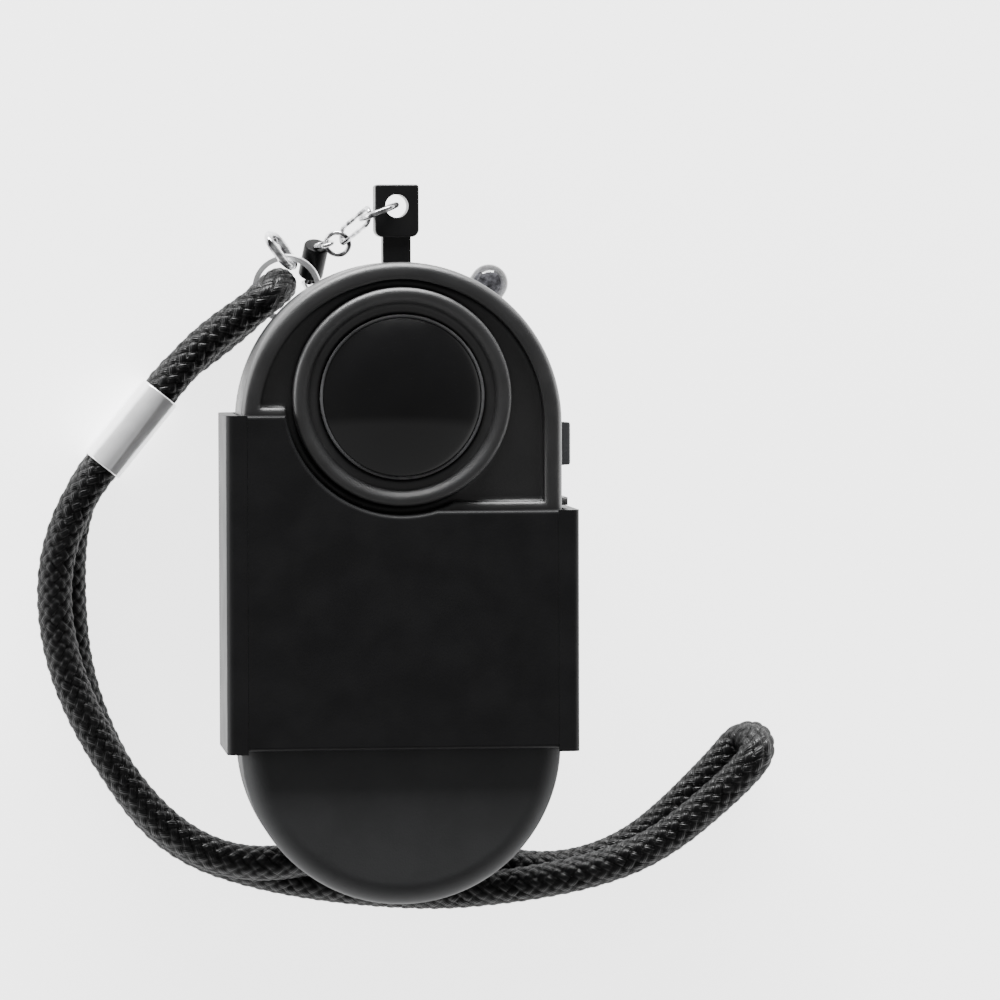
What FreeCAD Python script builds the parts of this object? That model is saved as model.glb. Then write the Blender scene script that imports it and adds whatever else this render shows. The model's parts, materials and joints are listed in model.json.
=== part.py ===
"""Motion sensor alarm with a pull pin, a belt clip and a wrist strap, in millimetres.

X runs across the case, Y along it towards the pull pin and Z out of its front.
Z = 0 is the outer face of the belt clip, on which the alarm lies, and Y = 0 is
the middle of the case's length.
"""
import FreeCAD, Part
import math
import os
from types import SimpleNamespace

import Sketcher
from FreeCAD import Placement, Rotation, Vector

doc = FreeCAD.newDocument("motion_alarm")

# Driving sizes, in millimetres and degrees
SIZES = {
    # Case: a capsule, split flat at the parting level and square across at the cap
    "case_radius": 26.9,
    "upper_arc": 26.6,
    "lower_arc": 27.3,
    "case_back": 12.4,
    "parting_level": 22.7,
    "case_front": 33.0,
    "case_wall": 1.8,
    "back_round": 4.0,
    "rim_width": 3.0,
    "rim_round": 1.3,
    "recess_depth": 2.5,
    "recess_left": 29.3,
    "recess_right": 13.4,
    "spigot_length": 10.0,
    "spigot_wall": 1.4,
    "slide_gap": 0.3,
    "cap_round": 4.0,
    # Lens boss and the dome in it
    "lens_y": 31.03,
    "boss_radius": 18.25,
    "boss_crest": 34.5,
    "crest_width": 1.45,
    "groove_radius": 15.6,
    "groove_level": 32.9,
    "groove_step": 0.8,
    "lens_radius": 13.8,
    "lens_top": 37.5,
    "lens_wall": 1.6,
    "flange_width": 1.6,
    "gasket_thick": 0.6,
    "retainer_thick": 1.5,
    "fit_gap": 0.1,
    # Screws and what they clamp
    "screw_radius": 1.0,
    "screw_head": 1.9,
    "head_thick": 1.4,
    "pillar_radius": 2.4,
    "upper_screw_inset": 9.4,
    "upper_screw_rise": 13.7,
    "lower_screw_inset": 5.4,
    "lower_screw_y": -12.0,
    "screw_reach": 5.0,
    "board_level": 19.0,
    "board_thick": 1.6,
    "board_gap": 2.6,
    "board_end": 3.0,
    "board_notch": 40.0,
    # Parts on the board and on the back wall
    "sensor_radius": 4.6,
    "sensor_height": 4.5,
    "siren_radius": 14.0,
    "siren_thick": 4.2,
    "siren_slot": 1.6,
    # Cells and their contacts
    "cell_radius": 5.25,
    "cell_length": 44.5,
    "cell_pitch": 10.9,
    "cell_level": 21.4,
    "cell_top": -0.9,
    "contact_thick": 0.5,
    "contact_margin": 4.0,
    "nipple_radius": 1.9,
    # Sleeve round the case, its front plate and its side rails
    "sleeve_wall": 2.3,
    "sleeve_back": 10.0,
    "back_wall": 2.2,
    "sleeve_front": 35.2,
    "sleeve_bottom": 28.3,
    "sleeve_left": 28.1,
    "sleeve_right": 12.1,
    "sleeve_back_round": 3.0,
    "sleeve_round": 1.3,
    "cutout_radius": 19.75,
    "rail_width": 3.55,
    "plate_thick": 2.0,
    "plate_bottom": 27.75,
    "plate_round": 0.7,
    "rail_lip": 1.0,
    # Belt clip on the back of the sleeve
    "clip_half": 12.0,
    "clip_thick": 2.4,
    "clip_bottom": 25.0,
    "lip_root": 4.0,
    "lip_front": 0.8,
    "lip_back": 2.2,
    "clip_top": 11.0,
    "hinge_y": 4.0,
    "hinge_level": 6.2,
    "knuckle_radius": 2.6,
    "hinge_pin_radius": 1.0,
    "lug_inner": 7.0,
    "lug_thick": 2.4,
    "ear_inner": 4.3,
    "ear_thick": 2.4,
    "spring_radius": 2.1,
    "spring_wire": 0.7,
    "spring_pitch": 1.2,
    # Pull pin and the leaves that it holds apart
    "pin_width": 7.4,
    "pin_stand": 4.2,
    "pin_head_length": 8.8,
    "pin_thick": 4.4,
    "pin_hole": 1.95,
    "pin_low_round": 1.3,
    "pin_high_round": 0.5,
    "pin_rim_round": 0.3,
    "pin_hole_rise": 5.2,
    "stem_width": 4.7,
    "stem_thick": 3.2,
    "blade_width": 3.0,
    "blade_depth": 12.0,
    "leaf_thick": 0.3,
    "leaf_height": 3.9,
    "leaf_foot": 3.0,
    "leaf_reach": 5.0,
    # Chain, rings and barrel
    "pin_ring_radius": 3.15,
    "pin_ring_wire": 1.0,
    "link_wire": 0.8,
    "link_width": 2.9,
    "round_ring_radius": 2.0,
    "barrel_radius": 2.05,
    "barrel_cap": 0.9,
    "stub_length": 1.4,
    "eye_wire": 0.7,
    "split_ring_radius": 5.4,
    "split_ring_wide": 0.9,
    "split_ring_wire": 0.5,
    "stout_wire": 1.4,
    "eye_link_length": 6.6,
    "eye_link_width": 4.5,
    # Cord and the ferrule on it
    "cord_diameter": 6.1,
    "ferrule_length": 15.9,
    "ferrule_wall": 0.55,
    "ferrule_recess": 0.8,
    "strand_low": 3.6,
    "strand_high": 10.1,
    # Mode switch and lamp
    "switch_y": 22.85,
    "switch_length": 7.3,
    "switch_height": 4.0,
    "switch_rise": 1.7,
    "switch_travel": 1.5,
    "switch_neck": 4.0,
    "lamp_angle": 56.0,
    "lamp_radius": 3.2,
    "lamp_flange": 0.5,
    "lamp_stand": 1.2,
    "stop_rib_y": 12.7,
    "stop_rib_width": 1.3,
    "stop_rib_height": 1.2,
}


class Size:
    """A number together with the expression that ties it to the sheet."""

    def __init__(self, value, text):
        self.value = value
        self.text = text

    def __add__(self, other):
        return Size(self.value + number(other), f"({self.text} + {wording(other)})")

    def __radd__(self, other):
        return Size(number(other) + self.value, f"({wording(other)} + {self.text})")

    def __sub__(self, other):
        return Size(self.value - number(other), f"({self.text} - {wording(other)})")

    def __rsub__(self, other):
        return Size(number(other) - self.value, f"({wording(other)} - {self.text})")

    def __mul__(self, other):
        return Size(self.value * number(other), f"({self.text} * {wording(other)})")

    def __rmul__(self, other):
        return Size(number(other) * self.value, f"({wording(other)} * {self.text})")

    def __truediv__(self, other):
        return Size(self.value / number(other), f"({self.text} / {wording(other)})")

    def __neg__(self):
        return Size(-self.value, f"(-1 * {self.text})")


def number(item):
    return item.value if isinstance(item, Size) else float(item)


def wording(item):
    return item.text if isinstance(item, Size) else f"({item})"


def sheet_of_sizes():
    """The spreadsheet, and every size in it by name."""
    sheet = doc.addObject("Spreadsheet::Sheet", "Sizes")
    for row, (name, value) in enumerate(SIZES.items(), 1):
        sheet.set(f"A{row}", name)
        sheet.set(f"B{row}", str(value))
        sheet.setAlias(f"B{row}", name)
    doc.recompute()
    return SimpleNamespace(**{name: Size(value, f"Sizes.{name}") for name, value in SIZES.items()})


size = sheet_of_sizes()

# How far a feature is sunk into the wall that it grows from
ROOT = 0.5
# Positions of a point on a sketch's line or arc
START, END, CENTRE = range(1, 4)
# The sketch's own axes
ACROSS = -1
UPRIGHT = -2


def bind(thing, name, item):
    thing.setExpression(name, wording(item))


def plane_of(body, role):
    return next(plane for plane in body.Origin.OriginFeatures if plane.Role == role)


def new_body(label):
    body = doc.addObject("PartDesign::Body", label)
    body.Label = label
    return body


def new_sketch(body, name, role="XY_Plane", base=(0, 0, 0)):
    sketch = body.newObject("Sketcher::SketchObject", name)
    sketch.AttachmentSupport = [(plane_of(body, role), "")]
    sketch.MapMode = "FlatFace"
    for axis, item in zip("xyz", base):
        if number(item) != 0:
            bind(sketch, f"AttachmentOffset.Base.{axis}", item)
    return sketch


def constrain(sketch, kind, *where, item):
    """Add a constraint with a size, tied to the sheet."""
    index = sketch.addConstraint(Sketcher.Constraint(kind, *where, number(item)))
    if isinstance(item, Size):
        bind(sketch, f"Constraints[{index}]", item)


def fix_point(sketch, geometry, position, x, y):
    for kind, axis, item in (("DistanceX", UPRIGHT, x), ("DistanceY", ACROSS, y)):
        if number(item) == 0:
            sketch.addConstraint(Sketcher.Constraint("PointOnObject", geometry, position, axis))
        else:
            constrain(sketch, kind, geometry, position, item=item)


def add_circle(sketch, x, y, radius):
    circle = Part.Circle(Vector(number(x), number(y), 0), Vector(0, 0, 1), number(radius))
    index = sketch.addGeometry(circle, False)
    fix_point(sketch, index, CENTRE, x, y)
    constrain(sketch, "Radius", index, item=radius)


def arc_between(start, end, radius):
    """Arc of less than half a turn; a positive radius turns left on the way to its end."""
    middle = (start + end) / 2
    half = (end - start) / 2
    left = Vector(-half.y, half.x, 0).normalize()
    rise = math.sqrt(radius * radius - half.Length ** 2)
    centre = middle + left * math.copysign(rise, radius)
    first, last = (start, end) if radius > 0 else (end, start)
    angles = [math.atan2(p.y - centre.y, p.x - centre.x) for p in (first, last)]
    if angles[1] < angles[0]:
        angles[1] += 2 * math.pi
    return Part.ArcOfCircle(Part.Circle(centre, Vector(0, 0, 1), abs(radius)), *angles)


def add_outline(sketch, corners):
    """Closed outline. A corner is (x, y), or (x, y, radius) where an arc leads to the next."""
    first = sketch.GeometryCount
    count = len(corners)
    places = [Vector(number(c[0]), number(c[1]), 0) for c in corners]
    ends = []
    for i, corner in enumerate(corners):
        here, there = places[i], places[(i + 1) % count]
        if len(corner) == 3:
            radius = number(corner[2])
            sketch.addGeometry(arc_between(here, there, radius), False)
            ends.append((START, END) if radius > 0 else (END, START))
        else:
            sketch.addGeometry(Part.LineSegment(here, there), False)
            ends.append((START, END))
    for i in range(count):
        after = (i + 1) % count
        joint = Sketcher.Constraint("Coincident", first + i, ends[i][1], first + after, ends[after][0])
        sketch.addConstraint(joint)
    for i, corner in enumerate(corners):
        fix_point(sketch, first + i, ends[i][0], corner[0], corner[1])
        if len(corner) == 3:
            positive = corner[2] if number(corner[2]) > 0 else -corner[2]
            constrain(sketch, "Radius", first + i, item=positive)


def add_box(sketch, left, right, low, high):
    add_outline(sketch, [(left, low), (right, low), (right, high), (left, high)])


def add_round_top(sketch, radius, centre_y, end_y):
    """Half round about (0, centre_y), with straight sides down to end_y."""
    r, top, end = number(radius), number(centre_y), number(end_y)
    circle = Part.Circle(Vector(0, top, 0), Vector(0, 0, 1), r)
    first = sketch.GeometryCount
    sketch.addGeometry(Part.ArcOfCircle(circle, 0, math.pi), False)
    sketch.addGeometry(Part.LineSegment(Vector(-r, top, 0), Vector(-r, end, 0)), False)
    sketch.addGeometry(Part.LineSegment(Vector(-r, end, 0), Vector(r, end, 0)), False)
    sketch.addGeometry(Part.LineSegment(Vector(r, end, 0), Vector(r, top, 0)), False)
    arc, left, bottom, right = range(first, first + 4)
    sketch.addConstraint(Sketcher.Constraint("Tangent", arc, END, left, START))
    sketch.addConstraint(Sketcher.Constraint("Coincident", left, END, bottom, START))
    sketch.addConstraint(Sketcher.Constraint("Coincident", bottom, END, right, START))
    sketch.addConstraint(Sketcher.Constraint("Tangent", right, END, arc, START))
    sketch.addConstraint(Sketcher.Constraint("Vertical", left))
    sketch.addConstraint(Sketcher.Constraint("Vertical", right))
    sketch.addConstraint(Sketcher.Constraint("Horizontal", bottom))
    fix_point(sketch, arc, CENTRE, 0, centre_y)
    constrain(sketch, "Radius", arc, item=radius)
    constrain(sketch, "DistanceY", bottom, START, item=end_y)


def add_half_disc(sketch, radius, centre_y):
    """Lower half of a disc about (0, centre_y)."""
    r, y = number(radius), number(centre_y)
    circle = Part.Circle(Vector(0, y, 0), Vector(0, 0, 1), r)
    arc = sketch.addGeometry(Part.ArcOfCircle(circle, math.pi, 2 * math.pi), False)
    line = sketch.addGeometry(Part.LineSegment(Vector(r, y, 0), Vector(-r, y, 0)), False)
    sketch.addConstraint(Sketcher.Constraint("Coincident", arc, END, line, START))
    sketch.addConstraint(Sketcher.Constraint("Coincident", line, END, arc, START))
    sketch.addConstraint(Sketcher.Constraint("Horizontal", line))
    sketch.addConstraint(Sketcher.Constraint("PointOnObject", arc, CENTRE, line))
    fix_point(sketch, arc, CENTRE, 0, centre_y)
    constrain(sketch, "Radius", arc, item=radius)


def layer(body, name, low, high, cut=False):
    """Sketch at the level low that is filled, or cut away, up to the level high."""
    sketch = new_sketch(body, f"{name}_outline", base=(0, 0, low))
    feature = body.newObject("PartDesign::Pocket" if cut else "PartDesign::Pad", name)
    feature.Profile = sketch
    feature.Reversed = cut
    bind(feature, "Length", high - low)
    return sketch


def across(body, name, half_width, cut=False):
    """Sketch on the middle plane, of Y and Z, that is filled or cut to both sides."""
    sketch = new_sketch(body, f"{name}_outline", "YZ_Plane")
    feature = body.newObject("PartDesign::Pocket" if cut else "PartDesign::Pad", name)
    feature.Profile = sketch
    feature.SideType = "Symmetric"
    bind(feature, "Length", 2 * half_width)
    return sketch


def turned(body, name, centre_y, profile, cut=False):
    """Solid, or cut, of revolution about the upright line at centre_y, from radii and levels."""
    sketch = new_sketch(body, f"{name}_outline", "YZ_Plane", (centre_y, 0, 0))
    add_outline(sketch, profile)
    feature = body.newObject("PartDesign::Groove" if cut else "PartDesign::Revolution", name)
    feature.Profile = sketch
    feature.ReferenceAxis = (sketch, ["V_Axis"])
    feature.Angle = 360
    return feature


def middle_of(edge):
    return edge.valueAt((edge.FirstParameter + edge.LastParameter) / 2)


def at_level(edge, level):
    box = edge.BoundBox
    return max(abs(box.ZMin - number(level)), abs(box.ZMax - number(level))) < 0.01


def upright(edge):
    return edge.BoundBox.ZLength > 1


def round_edges(body, name, radius, wanted):
    doc.recompute()
    base = body.Tip
    names = [f"Edge{i}" for i, edge in enumerate(base.Shape.Edges, 1) if wanted(edge)]
    fillet = body.newObject("PartDesign::Fillet", name)
    fillet.Base = (base, names)
    bind(fillet, "Radius", radius)
    return fillet


# Levels and places worked out from the sizes
cavity_back = size.case_back + size.case_wall
recess_level = size.case_front - size.recess_depth
cavity_front = recess_level - size.case_wall
cavity_radius = size.case_radius - size.case_wall
split_y = -size.lower_arc
board_top = size.board_level + size.board_thick
spigot_back = cavity_back + size.slide_gap
spigot_front = size.case_front - size.case_wall - size.slide_gap
spigot_radius = cavity_radius - size.slide_gap
spigot_end = split_y - size.spigot_length
case_top = size.upper_arc + size.case_radius
pin_head_low = case_top + size.pin_stand
pin_head_high = pin_head_low + size.pin_head_length
pin_hole_y = pin_head_low + size.pin_hole_rise
blade_end = case_top - size.blade_depth
switch_out = size.case_radius + size.switch_rise
lamp_centre = size.case_radius + size.lamp_stand
sleeve_half = size.case_radius + size.slide_gap + size.sleeve_wall
plate_half = sleeve_half - size.rail_width
board_radius = cavity_radius - size.board_gap
contact_width = 2 * (size.cell_pitch + size.contact_margin)
upper_screw_x = size.case_radius - size.upper_screw_inset
upper_screw_y = size.upper_arc + size.upper_screw_rise
lower_screw_x = size.case_radius - size.lower_screw_inset
screw_places = [
    (upper_screw_x, upper_screw_y),
    (-upper_screw_x, upper_screw_y),
    (lower_screw_x, size.lower_screw_y),
    (-lower_screw_x, size.lower_screw_y),
]
screw_bore = size.screw_radius + size.fit_gap / 2


def wall_openings(body):
    """What both shells leave open in their wall: the pin's slot, the switch's slot and the lamp's hole."""
    stem_half = size.stem_width / 2 + size.fit_gap
    stem_rise = size.stem_thick / 2 + size.fit_gap
    middle = size.parting_level
    pin_slot = layer(body, "pin_slot", middle - stem_rise, middle + stem_rise, cut=True)
    add_box(pin_slot, -stem_half, stem_half, case_top - 2 * size.case_wall, case_top + 1)
    neck_rise = size.switch_height / 2 - size.fit_gap * 4
    reach = size.switch_neck / 2 + size.switch_travel + size.fit_gap
    switch_slot = layer(body, "switch_slot", middle - neck_rise, middle + neck_rise, cut=True)
    y = size.switch_y
    add_box(switch_slot, cavity_radius - 1, size.case_radius + 1, y - reach, y + reach)
    lamp_hole = new_sketch(body, "lamp_hole_outline", "XZ_Plane", (0, middle, -size.upper_arc))
    lamp_hole.AttachmentOffset = Placement(lamp_hole.AttachmentOffset.Base, Rotation(Vector(0, 1, 0), 0))
    bind(lamp_hole, "AttachmentOffset.Rotation.Angle", 90 + size.lamp_angle)
    add_circle(lamp_hole, 0, 0, size.lamp_radius + size.fit_gap)
    hole = body.newObject("PartDesign::Pocket", "lamp_hole")
    hole.Profile = lamp_hole
    hole.Reversed = True
    bind(hole, "Length", size.case_radius + 2)


def stop_rib(body, low, high):
    """Short rib on the right wall, just above the sleeve's low edge."""
    rib = layer(body, "stop_rib", low, high)
    add_box(rib, size.case_radius - size.case_wall / 2, size.case_radius + size.stop_rib_height,
            size.stop_rib_y, size.stop_rib_y + size.stop_rib_width)


def front_shell():
    """Front half of the case: rim, textured recess, raised land under the plate, and the lens boss."""
    body = new_body("front_shell")
    add_round_top(layer(body, "outside", size.parting_level, size.case_front),
                  size.case_radius, size.upper_arc, split_y)
    round_edges(body, "rim_outer_round", size.rim_round,
                lambda e: at_level(e, size.case_front) and middle_of(e).y > number(split_y) + 0.1)
    inset = size.case_radius - size.rim_width
    add_round_top(layer(body, "recess", recess_level, size.case_front + 1, cut=True),
                  inset, size.upper_arc, split_y - 1)
    land_half = inset + size.rim_width / 4
    add_outline(layer(body, "land", recess_level, size.case_front), [
        (-land_half, split_y), (land_half, split_y), (land_half, size.recess_right),
        (0, size.recess_right), (0, size.recess_left), (-land_half, size.recess_left)])
    add_circle(layer(body, "boss_moat", recess_level, size.case_front + 1, cut=True),
               0, size.lens_y, size.cutout_radius - size.fit_gap)
    add_circle(layer(body, "spigot", size.parting_level, spigot_front), 0, split_y, spigot_radius)
    clear = size.case_radius + 2
    add_box(layer(body, "spigot_trim", size.parting_level - 1, size.case_front + 1, cut=True),
            -clear, clear, split_y - clear, spigot_end)
    add_circle(layer(body, "bay", size.parting_level - 1, spigot_front - size.spigot_wall, cut=True),
               0, split_y, spigot_radius - size.spigot_wall)
    add_round_top(layer(body, "cavity", size.parting_level - 1, cavity_front, cut=True),
                  cavity_radius, size.upper_arc, split_y + size.case_wall)
    wall_openings(body)
    stop_rib(body, size.parting_level, size.case_front - size.rim_width)
    crest_outer = size.boss_radius
    crest_inner = size.boss_radius - size.crest_width
    crest_round = size.crest_width / 2
    turned(body, "boss", size.lens_y, [
        (size.lens_radius + size.fit_gap, cavity_front),
        (crest_outer, cavity_front),
        (crest_outer, size.boss_crest - crest_round, crest_round),
        (crest_outer - crest_round, size.boss_crest),
        (crest_inner, size.boss_crest),
        (size.groove_radius, size.groove_level + size.groove_step),
        (size.groove_radius, size.groove_level),
        (size.lens_radius + size.fit_gap, size.groove_level)])
    add_circle(layer(body, "lens_bore", size.parting_level, size.boss_crest + 1, cut=True),
               0, size.lens_y, size.lens_radius + size.fit_gap)
    bosses = layer(body, "screw_bosses", board_top, cavity_front + 1)
    for x, y in screw_places[:2]:
        add_circle(bosses, x, y, size.pillar_radius)
    lower = layer(body, "lower_screw_bosses", size.parting_level, cavity_front + 1)
    for x, y in screw_places[2:]:
        add_circle(lower, x, y, size.pillar_radius)
    bores = layer(body, "screw_bores", board_top - 1, board_top + size.screw_reach, cut=True)
    for x, y in screw_places:
        add_circle(bores, x, y, screw_bore)
    return body


def back_shell():
    """Rear half of the case: siren slots, screw pillars, cell cradle and the wall behind the contacts."""
    body = new_body("back_shell")
    middle = size.parting_level
    add_round_top(layer(body, "outside", size.case_back, middle), size.case_radius, size.upper_arc, split_y)
    round_edges(body, "back_edge_round", size.back_round,
                lambda e: at_level(e, size.case_back) and middle_of(e).y > number(split_y) + 0.1)
    add_circle(layer(body, "spigot", spigot_back, middle), 0, split_y, spigot_radius)
    clear = size.case_radius + 2
    add_box(layer(body, "spigot_trim", size.case_back - 1, middle + 1, cut=True),
            -clear, clear, split_y - clear, spigot_end)
    add_circle(layer(body, "bay", spigot_back + size.spigot_wall, middle + 1, cut=True),
               0, split_y, spigot_radius - size.spigot_wall)
    add_round_top(layer(body, "cavity", cavity_back, middle + 1, cut=True),
                  cavity_radius, size.upper_arc, split_y + size.case_wall)
    wall_openings(body)
    stop_rib(body, size.case_back + size.back_round, middle)
    pillars = layer(body, "pillars", cavity_back - ROOT, size.board_level)
    for x, y in screw_places[:2]:
        add_circle(pillars, x, y, size.pillar_radius)
    lower = layer(body, "lower_pillars", cavity_back - ROOT, middle)
    for x, y in screw_places[2:]:
        add_circle(lower, x, y, size.pillar_radius)
    bores = layer(body, "screw_bores", size.case_back - 1, middle + 1, cut=True)
    heads = layer(body, "head_bores", size.case_back - 1, size.case_back + size.head_thick, cut=True)
    for x, y in screw_places:
        add_circle(bores, x, y, screw_bore)
        add_circle(heads, x, y, size.screw_head + size.fit_gap)
    slots = layer(body, "siren_slots", size.case_back - 1, cavity_back + 1, cut=True)
    for turn in range(3):
        y = size.lens_y + (turn - 1) * 3 * size.siren_slot
        half = size.siren_radius * (0.65 if turn == 1 else 0.5)
        add_box(slots, -half, half, y - size.siren_slot / 2, y + size.siren_slot / 2)
    bridge = layer(body, "slot_bridge", size.case_back, cavity_back)
    add_box(bridge, -size.siren_slot / 2, size.siren_slot / 2,
            size.lens_y - size.siren_radius, size.lens_y + size.siren_radius)
    back_of_contacts = size.cell_top + size.contact_thick + 2 * size.fit_gap
    partition = layer(body, "contact_wall", cavity_back - ROOT, size.board_level)
    add_box(partition, -cavity_radius - 0.3, cavity_radius + 0.3, back_of_contacts, size.board_end + 2)
    cradle = layer(body, "cradle", cavity_back - ROOT, size.cell_level - size.cell_radius * 0.6)
    cradle_half = size.cell_pitch + size.cell_radius
    for share in (0.25, 0.55):
        y = size.cell_top - size.cell_length * share
        add_box(cradle, -cradle_half, cradle_half, y, y + size.case_wall)
    nests = new_sketch(body, "cell_nests_outline", "XZ_Plane", (0, 0, -size.cell_top))
    for place in (-1, 0, 1):
        add_circle(nests, place * size.cell_pitch, size.cell_level, size.cell_radius + size.fit_gap)
    nest = body.newObject("PartDesign::Pocket", "cell_nests")
    nest.Profile = nests
    bind(nest, "Length", size.cell_length)
    nest.Reversed = True
    return body


def battery_cap():
    """Lower end of the case: a half-round cup, pillowed at its edges, that slides off the spigot."""
    body = new_body("battery_cap")
    add_half_disc(layer(body, "outside", size.case_back, size.case_front), size.case_radius, split_y)
    round_edges(body, "pillow", size.cap_round,
                lambda e: (at_level(e, size.case_back) or at_level(e, size.case_front))
                and middle_of(e).y < number(split_y) - 0.1)
    hollow = layer(body, "hollow", cavity_back, size.case_front - size.case_wall, cut=True)
    add_circle(hollow, 0, split_y, cavity_radius)
    stop = layer(body, "contact_stop", cavity_back - ROOT, size.cell_level + size.cell_radius)
    low = contact_end() - size.contact_thick
    for x in (-size.cell_pitch, size.cell_pitch):
        add_box(stop, x - 1, x + 1, split_y - cavity_radius + size.cap_round * 0.7, low)
    return body


def contact_end():
    """Level along Y on which the cells' lower ends press."""
    return size.cell_top - size.cell_length - size.fit_gap * 5


def lens_parts():
    """Domed window with its flange, the gasket over the flange and the ring that holds it."""
    flange = size.lens_radius + size.flange_width
    seat = cavity_front - size.gasket_thick
    underside = seat - size.gasket_thick * 2
    dome = new_body("lens_dome")
    edge = size.groove_level + size.fit_gap
    rise = size.lens_top - edge
    curve = (size.lens_radius * size.lens_radius + rise * rise) / (2 * rise)
    inner = size.lens_radius - size.lens_wall
    inner_rise = rise - size.lens_wall
    inner_curve = (inner * inner + inner_rise * inner_rise) / (2 * inner_rise)
    turned(dome, "shell", size.lens_y, [
        (inner, underside), (flange, underside), (flange, seat), (size.lens_radius, seat),
        (size.lens_radius, edge, curve), (0, size.lens_top),
        (0, size.lens_top - size.lens_wall, -inner_curve), (inner, edge)])
    gasket = new_body("lens_gasket")
    turned(gasket, "ring", size.lens_y, [
        (size.lens_radius + size.fit_gap, seat), (flange, seat),
        (flange, cavity_front), (size.lens_radius + size.fit_gap, cavity_front)])
    retainer = new_body("lens_retainer")
    low = underside - size.retainer_thick
    rim = flange + size.retainer_thick
    turned(retainer, "ring", size.lens_y, [
        (inner, low), (rim, low), (rim, cavity_front),
        (flange + size.fit_gap, cavity_front), (flange + size.fit_gap, underside), (inner, underside)])
    return [dome, gasket, retainer]


def circuit_board():
    body = new_body("circuit_board")
    add_round_top(layer(body, "board", size.board_level, board_top),
                  board_radius, size.upper_arc, size.board_end)
    cuts = layer(body, "openings", size.board_level - 1, board_top + 1, cut=True)
    notch = size.pin_width / 2
    add_box(cuts, -notch, notch, size.board_notch, size.upper_arc + board_radius + 1)
    for x, y in screw_places[:2]:
        add_circle(cuts, x, y, screw_bore)
    return body


def board_parts():
    """What stands on the board: the motion sensor's can, a chip, a coil and a capacitor."""
    sensor = new_body("pir_sensor")
    top = board_top + size.sensor_height
    turned(sensor, "can", size.lens_y, [
        (0, board_top), (size.sensor_radius + 0.4, board_top), (size.sensor_radius + 0.4, board_top + 0.4),
        (size.sensor_radius, board_top + 0.4), (size.sensor_radius, top), (0, top)])
    chip = new_body("controller_chip")
    add_box(layer(chip, "block", board_top, board_top + 1.5), -4, 4, 6, 14)
    coil = new_body("booster_coil")
    turned(coil, "core", 12, [(0, board_top), (3, board_top), (3, board_top + 0.8), (2.2, board_top + 0.8),
                              (2.2, board_top + 3), (3, board_top + 3), (3, board_top + 3.8),
                              (0, board_top + 3.8)])
    coil.Placement.Base = Vector(-12, 0, 0)
    capacitor = new_body("capacitor")
    turned(capacitor, "can", 12, [(0, board_top), (2.5, board_top), (2.5, board_top + 5.4),
                                  (0, board_top + 5.4)])
    capacitor.Placement.Base = Vector(10, 0, 0)
    return [sensor, chip, coil, capacitor]


def siren_sounder():
    """Flat piezo sounder with a short neck that seats on the slotted back wall."""
    body = new_body("siren_sounder")
    low = cavity_back + size.fit_gap
    high = low + size.siren_thick
    turned(body, "case", size.lens_y, [
        (size.siren_radius - 1.5, low), (size.siren_radius, low), (size.siren_radius, high),
        (0, high), (0, low + 1), (size.siren_radius - 1.5, low + 1)])
    return body


def case_screw(index, x, y, shank_top):
    low = size.case_back + size.fit_gap
    neck = size.case_back + size.head_thick - size.fit_gap
    body = new_body(f"case_screw_{index}")
    add_circle(layer(body, "head", low, neck), x, y, size.screw_head)
    add_circle(layer(body, "shank", neck, shank_top), x, y, size.screw_radius)
    driver = layer(body, "driver", low, low + size.head_thick / 2, cut=True)
    add_outline(driver, [(x + size.screw_radius * dx, y + size.screw_radius * dy) for dx, dy in
                         ((1, 0), (0.5, 0.87), (-0.5, 0.87), (-1, 0), (-0.5, -0.87), (0.5, -0.87))])
    return body


def cell(index, place):
    """One cell lying along Y, its nipple towards the lens on every other one."""
    body = new_body(f"battery_{index}")
    x = place * size.cell_pitch
    nipple_long = 1.0
    can = body.newObject("PartDesign::Pad", "can")
    can.Profile = new_sketch(body, "can_outline", "XZ_Plane", (0, 0, -size.cell_top + nipple_long))
    add_circle(can.Profile[0], x, size.cell_level, size.cell_radius)
    bind(can, "Length", size.cell_length - nipple_long)
    round_edges(body, "can_round", size.fit_gap * 5, lambda e: "Circle" in str(e.Curve))
    nipple = body.newObject("PartDesign::Pad", "nipple")
    nipple.Profile = new_sketch(body, "nipple_outline", "XZ_Plane", (0, 0, -size.cell_top))
    add_circle(nipple.Profile[0], x, size.cell_level, size.nipple_radius)
    bind(nipple, "Length", nipple_long + size.cell_radius / 10)
    return body


def contacts():
    """Contact plates at both ends of the cells, with a dimple against each cell."""
    half = contact_width / 2
    rise = size.cell_radius - 0.8
    upper = new_body("upper_contacts")
    low_y = size.cell_top + size.fit_gap
    plate = layer(upper, "plate", size.cell_level - rise, size.cell_level + rise)
    add_box(plate, -half, half, low_y, low_y + size.contact_thick)
    lower = new_body("cap_contact")
    end = contact_end()
    narrow = size.cell_pitch + size.nipple_radius
    plate = layer(lower, "plate", size.cell_level - rise, size.cell_level + rise)
    add_box(plate, -narrow, narrow, end - size.contact_thick, end)
    dimples = layer(lower, "dimples",
                    size.cell_level - size.nipple_radius, size.cell_level + size.nipple_radius)
    for place in (-1, 0, 1):
        x = place * size.cell_pitch
        add_box(dimples, x - size.nipple_radius, x + size.nipple_radius,
                end - size.contact_thick / 2, end + size.fit_gap * 3)
    return [upper, lower]


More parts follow.
